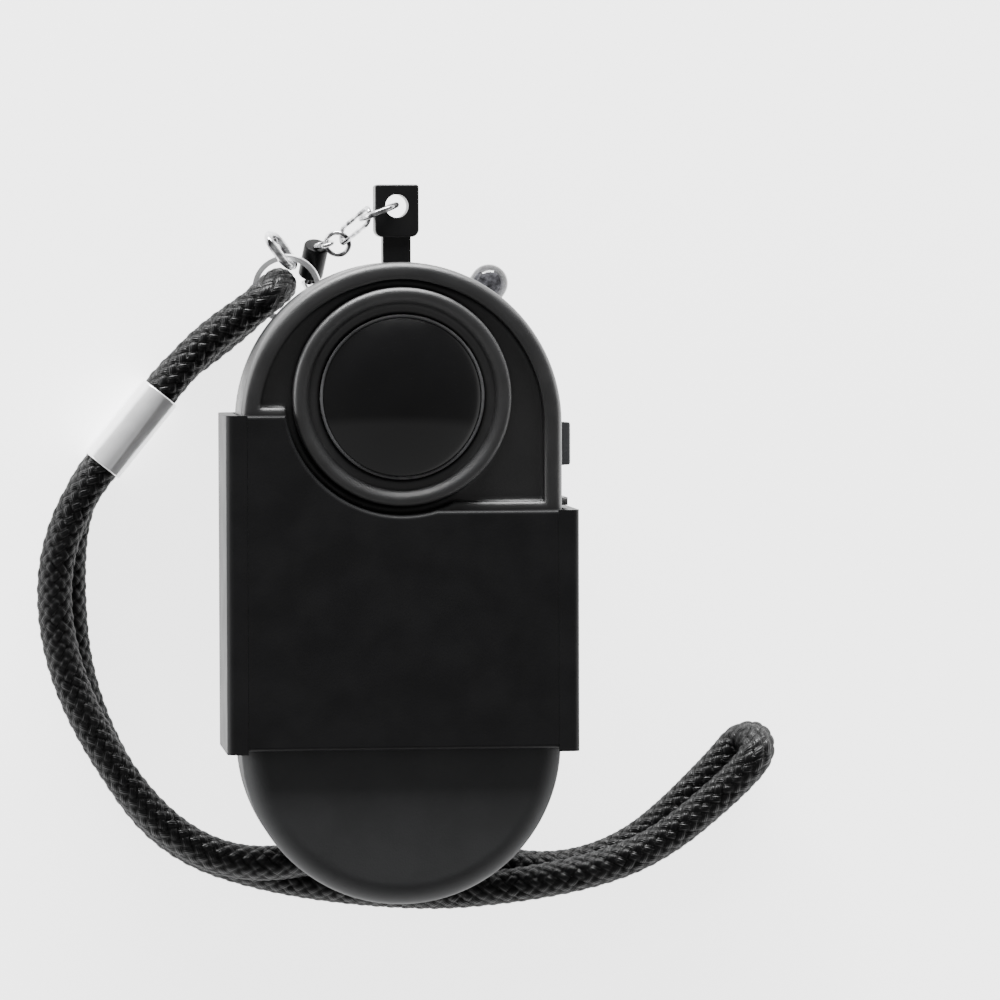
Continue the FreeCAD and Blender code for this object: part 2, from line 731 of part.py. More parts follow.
def mode_switch():
    """Slide switch on the board, and the knob that comes out through the wall."""
    y = size.switch_y
    middle = size.parting_level
    rise = size.switch_height / 2
    neck_rise = rise - size.fit_gap * 5
    inner = cavity_radius - size.case_wall
    housing = new_body("mode_switch_body")
    add_box(layer(housing, "block", board_top, middle + rise), inner - 6, inner,
            y - size.switch_length, y + size.switch_length)
    reach = size.switch_neck / 2 + size.switch_travel + size.fit_gap
    add_box(layer(housing, "track", middle - neck_rise - 0.1, middle + rise + 1, cut=True),
            inner - 2, inner + 1, y - reach, y + reach)
    knob = new_body("mode_switch_knob")
    half = size.switch_length / 2
    add_box(layer(knob, "bar", middle - rise, middle + rise),
            size.case_radius + size.slide_gap, switch_out, y - half, y + half)
    round_edges(knob, "bar_round", size.slide_gap * 2, lambda e: middle_of(e).x > number(switch_out) - 0.01)
    add_box(layer(knob, "neck", middle - neck_rise, middle + neck_rise), inner - 2 + size.fit_gap,
            size.case_radius + size.slide_gap + 0.2, y - size.switch_neck / 2, y + size.switch_neck / 2)
    return [housing, knob]


def lamp_led():
    """Clear bullet lamp that points out through the shoulder of the case."""
    body = new_body("lamp_led")
    start = cavity_radius - 2
    flange = size.lamp_radius + size.lamp_flange
    turned(body, "bullet", 0, [
        (0, start), (flange, start), (flange, cavity_radius - size.fit_gap * 8),
        (size.lamp_radius, cavity_radius - size.fit_gap * 8),
        (size.lamp_radius, lamp_centre, size.lamp_radius), (0, lamp_centre + size.lamp_radius)])
    place = Vector(0, number(size.upper_arc), number(size.parting_level))
    across_x = Rotation(Vector(0, 0, 1), Vector(1, 0, 0))
    body.Placement = Placement(place, Rotation(Vector(0, 0, 1), number(size.lamp_angle)) * across_x)
    return body


def sleeve_cut(body):
    """Opens the sleeve above a high left edge and a low right edge, and round the lens boss."""
    clear = sleeve_half + 2
    above = size.upper_arc + size.case_radius
    opening = layer(body, "opening", 0, size.sleeve_front + 2, cut=True)
    add_outline(opening, [
        (-clear, size.sleeve_left), (0, size.sleeve_left), (0, size.sleeve_right),
        (clear, size.sleeve_right), (clear, above), (-clear, above)])
    add_circle(layer(body, "round_opening", 0, size.sleeve_front + 2, cut=True),
               0, size.lens_y, size.cutout_radius)


def along(body, name, corners, low_y, high_y):
    """Section of X and Z, drawn from the corners and run along Y."""
    sketch = new_sketch(body, f"{name}_outline", "XZ_Plane", (0, 0, -low_y))
    add_outline(sketch, corners)
    feature = body.newObject("PartDesign::Pad", name)
    feature.Profile = sketch
    feature.Reversed = True
    bind(feature, "Length", high_y - low_y)
    return feature


def sleeve_body():
    """Holder that wraps the case, with the rails that frame the plate and the lugs of the clip."""
    body = new_body("sleeve_body")
    out = sleeve_half
    inside = sleeve_half - size.sleeve_wall
    floor = size.sleeve_back + size.back_wall
    lip = plate_half + size.fit_gap / 2
    ledge = size.sleeve_front - size.rail_lip
    along(body, "wrap", [
        (-out, size.sleeve_back), (out, size.sleeve_back), (out, size.sleeve_front),
        (lip, size.sleeve_front), (lip, ledge), (inside, ledge), (inside, floor), (-inside, floor),
        (-inside, ledge), (-lip, ledge), (-lip, size.sleeve_front), (-out, size.sleeve_front)],
        -size.sleeve_bottom, size.sleeve_left + 1)
    sleeve_cut(body)
    outermost = number(out) - 0.01
    round_edges(body, "front_round", size.sleeve_round,
                lambda e: at_level(e, size.sleeve_front) and abs(middle_of(e).x) > outermost)
    round_edges(body, "back_round", size.sleeve_back_round,
                lambda e: at_level(e, size.sleeve_back) and abs(middle_of(e).x) > outermost)
    y, z, r = size.hinge_y, size.hinge_level, size.knuckle_radius
    for side, name in ((-1, "left"), (1, "right")):
        middle = side * (size.lug_inner + size.lug_thick / 2)
        lug = new_sketch(body, f"{name}_lug_outline", "YZ_Plane", (0, 0, middle))
        add_outline(lug, [(y + r, z), (y + r, size.sleeve_back + 1),
                          (y - r, size.sleeve_back + 1), (y - r, z)])
        pad = body.newObject("PartDesign::Pad", f"{name}_lug")
        pad.Profile = lug
        pad.SideType = "Symmetric"
        bind(pad, "Length", size.lug_thick)
        knuckle = new_sketch(body, f"{name}_knuckle_outline", "YZ_Plane", (0, 0, middle))
        add_circle(knuckle, y, z, r)
        pad = body.newObject("PartDesign::Pad", f"{name}_knuckle")
        pad.Profile = knuckle
        pad.SideType = "Symmetric"
        bind(pad, "Length", size.lug_thick)
    add_circle(across(body, "pin_bore", out, cut=True), y, z, size.hinge_pin_radius + size.fit_gap / 2)
    return body


def front_plate():
    """Flat glossy cover whose tongues run under the rails' lips."""
    body = new_body("front_plate")
    half = plate_half
    low = size.sleeve_front - size.plate_thick
    tongue = sleeve_half - size.sleeve_wall - size.slide_gap
    ledge = size.sleeve_front - size.rail_lip - size.fit_gap
    along(body, "cover", [
        (-tongue, low), (tongue, low), (tongue, ledge), (half, ledge), (half, size.sleeve_front),
        (-half, size.sleeve_front), (-half, ledge), (-tongue, ledge)],
        -size.plate_bottom, size.sleeve_left + 1)
    sleeve_cut(body)
    round_edges(body, "edge_round", size.plate_round,
                lambda e: at_level(e, size.sleeve_front) and abs(middle_of(e).x) < number(half) - 0.01)
    return body


def belt_clip():
    """Sprung clip: a flat blade with a lip at its lower end and two ears on the hinge pin."""
    body = new_body("belt_clip")
    y, z, r = size.hinge_y, size.hinge_level, size.knuckle_radius
    lip_top = size.sleeve_back - size.fit_gap
    along(body, "blade", [(-size.clip_half, 0), (size.clip_half, 0), (size.clip_half, size.clip_thick),
                          (-size.clip_half, size.clip_thick)], -size.clip_bottom, size.clip_top)
    round_edges(body, "corners", size.clip_thick * 1.5, upright)
    lip = across(body, "lip", size.clip_half - size.clip_thick * 1.5)
    low = -size.clip_bottom
    inner_face = size.clip_thick / 2
    add_outline(lip, [(low, inner_face), (low + size.lip_root, inner_face),
                      (low + size.lip_back, lip_top), (low + size.lip_front, lip_top)])
    for side, name in ((-1, "left"), (1, "right")):
        middle = side * (size.ear_inner + size.ear_thick / 2)
        ear = new_sketch(body, f"{name}_ear_outline", "YZ_Plane", (0, 0, middle))
        add_outline(ear, [(y - r, size.clip_thick / 2), (y + r, size.clip_thick / 2), (y + r, z), (y - r, z)])
        pad = body.newObject("PartDesign::Pad", f"{name}_ear")
        pad.Profile = ear
        pad.SideType = "Symmetric"
        bind(pad, "Length", size.ear_thick)
        knuckle = new_sketch(body, f"{name}_knuckle_outline", "YZ_Plane", (0, 0, middle))
        add_circle(knuckle, y, z, r)
        pad = body.newObject("PartDesign::Pad", f"{name}_knuckle")
        pad.Profile = knuckle
        pad.SideType = "Symmetric"
        bind(pad, "Length", size.ear_thick)
    add_circle(across(body, "pin_bore", size.clip_half, cut=True),
               y, z, size.hinge_pin_radius + size.fit_gap / 2)
    return body


def clip_hinge_pin():
    body = new_body("clip_hinge_pin")
    add_circle(across(body, "rod", size.lug_inner + size.lug_thick), size.hinge_y, size.hinge_level,
               size.hinge_pin_radius)
    return body


def pull_pin():
    """Pin in the top of the case: holed head, stem in the slot and blade between the leaves."""
    body = new_body("pull_pin")
    half, middle = size.pin_width / 2, size.parting_level
    add_box(layer(body, "head", middle - size.pin_thick / 2, middle + size.pin_thick / 2),
            -half, half, pin_head_low, pin_head_high)
    round_edges(body, "lower_corners", size.pin_low_round,
                lambda e: upright(e) and middle_of(e).y < number(pin_head_low) + 0.01)
    round_edges(body, "upper_corners", size.pin_high_round,
                lambda e: upright(e) and middle_of(e).y > number(pin_head_high) - 0.01)
    round_edges(body, "rims", size.pin_rim_round, lambda e: e.BoundBox.ZLength < 0.01)
    add_circle(layer(body, "hole", middle - size.pin_thick, middle + size.pin_thick, cut=True),
               0, pin_hole_y, size.pin_hole)
    wall_inside = size.upper_arc + cavity_radius - 1
    add_box(layer(body, "stem", middle - size.stem_thick / 2, middle + size.stem_thick / 2),
            -size.stem_width / 2, size.stem_width / 2, wall_inside, pin_head_low + ROOT)
    add_box(layer(body, "blade", middle - size.stem_thick / 2, middle + size.stem_thick / 2),
            -size.blade_width / 2, size.blade_width / 2, blade_end, wall_inside + ROOT)
    return body


def pin_contact(name, side):
    """Spring leaf with a foot on the board, held off its partner by the pin's blade."""
    body = new_body(name)
    near = size.blade_width / 2 + size.fit_gap
    leaf = layer(body, "leaf", board_top, board_top + size.leaf_height)
    foot_end = size.pin_width / 2 + size.leaf_foot
    high = blade_end + size.leaf_reach
    low = size.board_notch - size.leaf_foot
    if side > 0:
        add_box(leaf, near, near + size.leaf_thick, low, high)
    else:
        add_box(leaf, -near - size.leaf_thick, -near, low, high)
    foot = layer(body, "foot", board_top, board_top + size.leaf_thick)
    if side > 0:
        add_box(foot, near, foot_end, low, size.board_notch)
    else:
        add_box(foot, -foot_end, -near, low, size.board_notch)
    return body


def solid_part(label, shape):
    part = doc.addObject("Part::Feature", label)
    part.Label = label
    part.Shape = shape
    return part


def pipe(path, start, direction, radius):
    """Round tube of the given radius along a wire."""
    section = Part.Wire(Part.Circle(start, direction, radius).toShape())
    shell = Part.BRepOffsetAPI.MakePipeShell(path)
    shell.add(section)
    shell.build()
    shell.makeSolid()
    return shell.shape()


def clip_spring():
    """Torsion spring round the hinge pin, with one leg on the sleeve and one on the clip."""
    coil, wire = number(size.spring_radius), number(size.spring_wire) / 2
    pitch = number(size.spring_pitch)
    turns = 5
    axis = Vector(-pitch * turns / 2, number(size.hinge_y), number(size.hinge_level))
    quarter = math.pi / 2

    def on_coil(angle):
        return axis + Vector(pitch * angle / (2 * math.pi), coil * math.cos(angle), coil * math.sin(angle))

    edges = []
    for step in range(turns * 4 - 2):
        a = step * quarter
        edges.append(Part.Arc(on_coil(a), on_coil(a + quarter / 2), on_coil(a + quarter)).toShape())
    first, last = on_coil(0), on_coil((turns * 4 - 2) * quarter)
    foot = Vector(first.x, first.y, number(size.clip_thick) + wire + 0.05)
    head = Vector(last.x, last.y, number(size.sleeve_back) - wire - 0.05)
    edges.insert(0, Part.LineSegment(foot, first).toShape())
    edges.append(Part.LineSegment(last, head).toShape())
    print(f"spring: least gap between turns {pitch - 2 * wire:.2f}")
    return solid_part("clip_spring", pipe(Part.Wire(edges), foot, Vector(0, 0, 1), wire))


def ring(label, centre, normal, radius, wire):
    """Closed wire ring; radius is that of the wire's centre line."""
    torus = doc.addObject("Part::Torus", label)
    torus.Label = label
    bind(torus, "Radius1", radius)
    bind(torus, "Radius2", wire / 2)
    torus.Placement = Placement(centre, Rotation(Vector(0, 0, 1), normal))
    return torus


def oval_path(start, along_it, flat_normal, length, width):
    """Where an oval starts, which way it leaves, and its closed path."""
    forward = Vector(along_it).normalize()
    normal = Vector(flat_normal)
    normal = (normal - forward * normal.dot(forward)).normalize()
    side = forward.cross(normal) * (width / 2)
    near = start + forward * (width / 2)
    far = start + forward * (length - width / 2)
    path = Part.Wire([
        Part.LineSegment(near + side, far + side).toShape(),
        Part.Arc(far + side, start + forward * length, far - side).toShape(),
        Part.LineSegment(far - side, near - side).toShape(),
        Part.Arc(near - side, start, near + side).toShape()])
    return near + side, forward, path


def oval_link(label, start, along_it, flat_normal, length, width, wire):
    """Welded link: two straight sides and two round ends, from the middle of its first end."""
    near, forward, path = oval_path(start, along_it, flat_normal, length, width)
    return solid_part(label, pipe(path, near, forward, wire / 2))


def coiled_ring(label, centre, tilt, radius, wide, thick):
    """Split ring: flat wire wound into two turns that lie one on the other."""
    turns = 2
    step = thick + COIL_GAP
    half = wide / 2
    corners = [Vector(radius - half, 0, -thick / 2), Vector(radius + half, 0, -thick / 2),
               Vector(radius + half, 0, thick / 2), Vector(radius - half, 0, thick / 2)]
    helix = Part.makeLongHelix(step, step * turns, radius)
    shell = Part.BRepOffsetAPI.MakePipeShell(helix)
    shell.setFrenetMode(True)
    shell.add(Part.makePolygon(corners + corners[:1]))
    shell.build()
    shell.makeSolid()
    part = solid_part(label, shell.shape())
    part.Placement = Placement(centre - tilt.multVec(Vector(0, 0, step * turns / 2)), tilt)
    return part


def cord_path(points):
    """Straight runs joined by tangent arcs, each as large as its two runs allow."""
    share = 0.45
    here = points[0]
    edges = []
    radii = []
    for before, corner, after in zip(points, points[1:], points[2:]):
        inward = (corner - before).normalize()
        outward = (after - corner).normalize()
        turn = inward.getAngle(outward)
        reach = share * min((corner - before).Length, (after - corner).Length)
        radius = reach / math.tan(turn / 2)
        toward = (outward - inward).normalize()
        first = corner - inward * reach
        last = corner + outward * reach
        top = corner + toward * (radius / math.cos(turn / 2) - radius)
        edges.append(Part.LineSegment(here, first).toShape())
        edges.append(Part.Arc(first, top, last).toShape())
        radii.append(radius)
        here = last
    edges.append(Part.LineSegment(here, points[-1]).toShape())
    return Part.Wire(edges), radii


def cord(label, route, diameter):
    """Round cord along a route, checked against its section times its length."""
    points = [Vector(*place) for place in route]
    path, radii = cord_path(points)
    shape = pipe(path, points[0], points[1] - points[0], diameter / 2)
    expected = math.pi * diameter ** 2 / 4 * path.Length
    print(f"{label}: length {path.Length:.1f}, volume share {shape.Volume / expected:.4f}")
    print(f"{label}: radii", " ".join(f"{radius:.1f}" for radius in radii))
    return solid_part(label, shape)


# Places along the chain, from the pin's hole down to the split ring
PIN_HOLE = Vector(0, number(pin_hole_y), number(size.parting_level))
RING_CENTRE = PIN_HOLE + Vector(-2.85, -0.95, 0)
RING_NORMAL = Vector(0.37, -0.93, 0)
RING_HOLDS = PIN_HOLE + Vector(-4.73, -1.7, -2.41)
ROUND_CENTRE = Vector(-8.75, 56.65, 9.0)
ROUND_ALONG = Vector(0.5, 0.75, 0.43).normalize()
BARREL_TOP = Vector(-12.15, 56.4, 6.9)
BARREL_END = Vector(-13.0, 51.4, 3.6)
SPLIT_CENTRE = Vector(-17.4, 49.1, 8.15)
SPLIT_TILT = Rotation(Vector(0.83, -0.55, 0), 15)
FERRULE_START = Vector(-39.1, 31.5, 0)
FERRULE_ANGLE = 231.1
# Play of a wire inside the link that it hangs in, and gap between the split ring's two turns
LINK_PLAY = 0.3
COIL_GAP = 0.05

RING_LOOP_ROUTE = [
    (-39.57, 30.92, 10.1), (-36.27, 35.0, 10.1), (-32.2, 39.3, 9.9), (-28.2, 42.5, 10.2),
    (-24.4, 45.1, 11.1), (-20.2, 48.3, 11.7), (-18.1, 50.1, 7.3), (-20.2, 48.3, 3.1),
    (-24.4, 44.2, 3.1), (-28.4, 40.9, 3.1), (-32.4, 37.9, 3.2), (-36.27, 35.0, 3.6),
    (-39.57, 30.92, 3.6)]
WRIST_LOOP_ROUTE = [
    (-48.61, 19.71, 10.1), (-51.97, 15.55, 10.1), (-55.3, 9.0, 9.7), (-57.2, 1.6, 9.4),
    (-57.3, -6.2, 9.4), (-55.9, -14.0, 9.4), (-53.2, -21.6, 9.5), (-49.2, -29.2, 9.6),
    (-44.2, -36.8, 9.6), (-38.4, -43.0, 9.6), (-31.8, -47.2, 9.5), (-24.6, -49.2, 9.3),
    (-17.3, -49.0, 8.9), (-10.0, -47.8, 6.5), (-2.3, -47.2, 3.7), (5.6, -47.8, 3.1),
    (13.4, -49.2, 3.1), (21.0, -50.9, 3.1), (28.6, -51.6, 3.1), (36.2, -50.2, 3.1),
    (43.3, -46.9, 3.1), (49.4, -42.0, 3.1), (54.8, -36.7, 3.1), (58.6, -32.8, 3.1),
    (61.4, -29.4, 3.1), (63.9, -28.8, 6.9), (63.4, -31.5, 10.6), (60.0, -35.4, 10.3),
    (54.9, -40.0, 10.1), (49.0, -44.8, 9.9), (42.4, -48.6, 9.9), (35.0, -51.1, 9.9),
    (26.6, -52.8, 9.7), (18.2, -54.0, 8.7), (10.0, -54.9, 6.2), (2.0, -54.9, 3.9),
    (-6.4, -54.2, 3.1), (-15.2, -52.9, 3.1), (-24.0, -50.9, 3.1), (-32.6, -47.9, 3.1),
    (-39.4, -43.2, 3.1), (-44.6, -36.8, 3.1), (-48.7, -29.6, 3.1), (-51.9, -21.8, 3.1),
    (-53.9, -13.8, 3.1), (-54.6, -5.8, 3.1), (-54.7, 1.9, 3.1), (-54.1, 9.2, 3.25),
    (-51.85, 15.7, 3.6), (-48.61, 19.71, 3.6)]


def on_split_ring(angle):
    """Middle of the split ring's two turns at an angle, and the half height of the two."""
    radius = number(size.split_ring_radius)
    step = number(size.split_ring_wire) + COIL_GAP
    height = step * (angle / (2 * math.pi) % 1 - 0.5)
    place = Vector(radius * math.cos(angle), radius * math.sin(angle), height)
    return SPLIT_CENTRE + SPLIT_TILT.multVec(place), step / 2 + number(size.split_ring_wire) / 2


def chain():
    """Ring in the pin's hole, long oval link, small round ring, barrel and split ring."""
    link_wire = number(size.link_wire)
    inside = (link_wire + number(size.pin_ring_wire)) / 2 + LINK_PLAY
    pin_ring = ring("pin_ring", RING_CENTRE, RING_NORMAL, size.pin_ring_radius, size.pin_ring_wire)
    held = ROUND_CENTRE + ROUND_ALONG * number(size.round_ring_radius)
    way = (held - RING_HOLDS).normalize()
    link = oval_link("chain_link", RING_HOLDS - way * inside, way, Vector(0.91, -0.16, -0.38),
                     (held - RING_HOLDS).Length + 2 * inside, number(size.link_width), link_wire)
    facing = Vector(0, 0, 1)
    normal = facing - ROUND_ALONG * facing.dot(ROUND_ALONG)
    round_ring = ring("round_ring", ROUND_CENTRE, normal, size.round_ring_radius, size.link_wire)
    return [pin_ring, link, round_ring]


def barrel():
    """Black barrel with a bore, and its metal caps, core and eyes in one piece."""
    radius, cap = number(size.barrel_radius), number(size.barrel_cap)
    axis = (BARREL_TOP - BARREL_END).normalize()
    low = BARREL_END + axis * cap
    high = BARREL_TOP - axis * cap
    core = radius / 3
    play = number(size.fit_gap) / 2
    tube = Part.makeCylinder(radius, (high - low).Length, low, axis)
    tube = tube.cut(Part.makeCylinder(core + play, (high - low).Length, low, axis))
    body = solid_part("barrel", tube)
    eye_wire = number(size.eye_wire)
    metal = Part.makeCylinder(core, (high - low).Length + cap, low - axis * cap / 2, axis)
    for end, outward in ((low, -axis), (high, axis)):
        face = Part.makeCylinder(radius, cap - play, end + outward * play, outward)
        metal = metal.fuse(face.makeFillet(cap / 3, [face.Edges[0], face.Edges[2]]))
    held = ROUND_CENTRE + Vector(-0.962, -0.032, -0.27) * number(size.round_ring_radius)
    inside = (eye_wire + number(size.link_wire)) / 2 + LINK_PLAY
    upper = oval_path(BARREL_TOP, held - BARREL_TOP, Vector(0.13, -0.93, -0.34),
                      (held - BARREL_TOP).Length + inside + LINK_PLAY / 2, eye_wire * 3.1)
    ring_side, half_height = on_split_ring(-0.2)
    stub_length = number(size.stub_length)
    stub = BARREL_END - axis * stub_length
    metal = metal.fuse(Part.makeCylinder(core, stub_length + cap, stub - axis * cap / 4, axis))
    reach = ring_side - stub
    lower = oval_path(stub, reach, axis,
                      reach.Length + eye_wire / 2 + half_height + LINK_PLAY, eye_wire * 3.4)
    for start, way, path in (upper, lower):
        metal = metal.fuse(pipe(path, start, way, eye_wire / 2))
    return [body, solid_part("barrel_fittings", metal.removeSplitter())]


def split_ring():
    return coiled_ring("split_ring", SPLIT_CENTRE, SPLIT_TILT, number(size.split_ring_radius),
                       number(size.split_ring_wide), number(size.split_ring_wire))


def eye_link():
    """Stout link that hangs on the split ring."""
    wire = number(size.stout_wire)
    held, half_height = on_split_ring(1.6)
    way = Vector(-0.55, 0.8, -0.2).normalize()
    start = held - way * (wire * 3 / 4 + half_height + LINK_PLAY)
    return oval_link("eye_link", start, way, Vector(0.88, 0.2, 0.43),
                     number(size.eye_link_length), number(size.eye_link_width), wire)


def ferrule():
    """Crimped tube of stadium section round both strands, open at its ends down to the cords."""
    body = new_body("ferrule")
    half = size.cord_diameter / 2 + size.ferrule_wall

    def stadium(sketch, radius):
        low, high = size.strand_low, size.strand_high
        r, y_low, y_high = number(radius), number(low), number(high)
        circle = [Part.Circle(Vector(0, y, 0), Vector(0, 0, 1), r) for y in (y_low, y_high)]
        lower = sketch.addGeometry(Part.ArcOfCircle(circle[0], math.pi, 2 * math.pi), False)
        right = sketch.addGeometry(Part.LineSegment(Vector(r, y_low, 0), Vector(r, y_high, 0)), False)
        upper = sketch.addGeometry(Part.ArcOfCircle(circle[1], 0, math.pi), False)
        left = sketch.addGeometry(Part.LineSegment(Vector(-r, y_high, 0), Vector(-r, y_low, 0)), False)
        for one, two in ((lower, right), (right, upper), (upper, left), (left, lower)):
            sketch.addConstraint(Sketcher.Constraint("Tangent", one, END, two, START))
        sketch.addConstraint(Sketcher.Constraint("Vertical", right))
        fix_point(sketch, lower, CENTRE, 0, low)
        fix_point(sketch, upper, CENTRE, 0, high)
        constrain(sketch, "Radius", lower, item=radius)

    outside = new_sketch(body, "outside_outline", "YZ_Plane")
    stadium(outside, half)
    tube = body.newObject("PartDesign::Pad", "tube")
    tube.Profile = outside
    bind(tube, "Length", size.ferrule_length)
    round_edges(body, "end_round", size.ferrule_wall / 2, lambda e: e.BoundBox.XLength < 0.01)
    for name, level, reverse in (("near", 0, True), ("far", size.ferrule_length, False)):
        mouth = new_sketch(body, f"{name}_mouth_outline", "YZ_Plane", (0, 0, level))
        stadium(mouth, size.cord_diameter / 2 + size.fit_gap)
        cut = body.newObject("PartDesign::Pocket", f"{name}_mouth")
        cut.Profile = mouth
        cut.Reversed = reverse
        bind(cut, "Length", size.ferrule_recess)
    body.Placement = Placement(FERRULE_START, Rotation(Vector(0, 0, 1), FERRULE_ANGLE))
    return body


def all_parts():
    parts = [front_shell(), back_shell(), battery_cap()]
    parts += lens_parts()
    parts += [circuit_board(), siren_sounder()]
    parts += board_parts()
    for index, (x, y) in enumerate(screw_places, 1):
        parts.append(case_screw(index, x, y, board_top + size.screw_reach - size.fit_gap))
    for index, place in enumerate((-1, 0, 1), 1):
        parts.append(cell(index, place))
    parts += contacts()
    parts += mode_switch()
    parts += [lamp_led(), sleeve_body(), front_plate(), belt_clip(), clip_hinge_pin(), clip_spring()]
    parts += [pull_pin(), pin_contact("pin_contact_left", -1), pin_contact("pin_contact_right", 1)]
    parts += chain()
    parts += barrel()
    parts += [split_ring(), eye_link(), ferrule()]
    diameter = number(size.cord_diameter)
    parts += [cord("ring_loop", RING_LOOP_ROUTE, diameter), cord("wrist_loop", WRIST_LOOP_ROUTE, diameter)]
    return parts


def check(parts):
    """Stop if any feature failed, any cut removed nothing or any piece is empty or broken."""
    for item in doc.Objects:
        if "Invalid" in item.State or "Error" in item.State:
            raise RuntimeError(f"{item.Name} failed")
        if item.TypeId in ("PartDesign::Pocket", "PartDesign::Groove"):
            if item.Shape.Volume > item.BaseFeature.Shape.Volume - 0.01:
                raise RuntimeError(f"{item.Name} cuts nothing")
    for part in parts:
        if part.Shape.isNull() or not part.Shape.isValid():
            raise RuntimeError(f"{part.Label} has no sound shape")


parts = all_parts()
doc.recompute()
check(parts)
os.makedirs("parts", exist_ok=True)
for part in parts:
    part.Shape.exportStep(f"parts/{part.Label}.step")
print(f"{len(parts)} parts written")
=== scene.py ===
# %% [markdown]
# This lesson dresses a pocket motion sensor alarm. Its working model, with
# every piece and joint, is loaded first as a fixed frame. All new pieces are
# in metres and are placed by that frame.

# %% Load the frame
import json
import math

import bpy
import numpy as np
from mathutils import Matrix, Vector


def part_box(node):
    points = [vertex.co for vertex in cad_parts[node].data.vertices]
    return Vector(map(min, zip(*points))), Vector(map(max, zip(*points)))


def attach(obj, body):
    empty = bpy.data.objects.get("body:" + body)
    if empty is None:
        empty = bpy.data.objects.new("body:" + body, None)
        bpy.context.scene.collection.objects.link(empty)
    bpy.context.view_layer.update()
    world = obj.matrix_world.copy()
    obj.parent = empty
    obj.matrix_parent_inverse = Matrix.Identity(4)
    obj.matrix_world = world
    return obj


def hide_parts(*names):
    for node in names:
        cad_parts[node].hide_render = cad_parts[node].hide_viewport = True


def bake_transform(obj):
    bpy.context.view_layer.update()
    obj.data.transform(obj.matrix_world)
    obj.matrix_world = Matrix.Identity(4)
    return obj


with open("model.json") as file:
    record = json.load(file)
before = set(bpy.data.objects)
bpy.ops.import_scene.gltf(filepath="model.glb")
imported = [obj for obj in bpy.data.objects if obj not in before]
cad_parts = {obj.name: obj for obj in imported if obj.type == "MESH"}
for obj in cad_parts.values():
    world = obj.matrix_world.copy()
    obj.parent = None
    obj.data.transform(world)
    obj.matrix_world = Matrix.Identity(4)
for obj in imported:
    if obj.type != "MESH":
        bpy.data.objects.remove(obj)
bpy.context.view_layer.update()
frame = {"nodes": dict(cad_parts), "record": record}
MM = 0.001
cad_nodes = frame["nodes"]
record = frame["record"]
body_of_node = {node: body for body, members in record["behaviour"]["bodies"].items()
                for node in members}
slot_of_node = {part["node"]: part["material_slot"] for part in record["subparts"]}
print("pieces in the frame:", len(cad_nodes))

# %% [markdown]
# The photograph looks down on the alarm from the upper left, from far away.
# The place of the camera was worked out from the straight edges of the cover.

# %% Camera
CAMERA_AT = Vector((-83.74, 51.55, 935.2)) * MM
CAMERA_LOOKS_AT = Vector((16.096, 13.829, 35.2)) * MM
CAMERA_ROLL = math.radians(-0.172)
FOCAL_LENGTH = 195.87
SENSOR_WIDTH = 36.0
NEAREST_SEEN = 10 * MM

camera = bpy.data.objects.new("camera", bpy.data.cameras.new("camera"))
bpy.context.collection.objects.link(camera)
camera.data.sensor_width = SENSOR_WIDTH
camera.data.lens = FOCAL_LENGTH
camera.data.clip_start = NEAREST_SEEN
forward = (CAMERA_LOOKS_AT - CAMERA_AT).normalized()
level = forward.cross(Vector((0, 1, 0))).normalized()
upward = level.cross(forward)
right = level * math.cos(CAMERA_ROLL) + upward * math.sin(CAMERA_ROLL)
above = upward * math.cos(CAMERA_ROLL) - level * math.sin(CAMERA_ROLL)
turned = Matrix((right, above, -forward)).transposed()
camera.matrix_world = Matrix.Translation(CAMERA_AT) @ turned.to_4x4()
bpy.context.scene.camera = camera
print("camera stands", round((CAMERA_LOOKS_AT - CAMERA_AT).length, 3), "m away")

# %% [markdown]
# The strap is one braided cord that runs from the ferrule round the long loop
# and back, and a short one that runs through the split ring. Each route is a
# smooth NURBS line, and the braid follows points read from it.

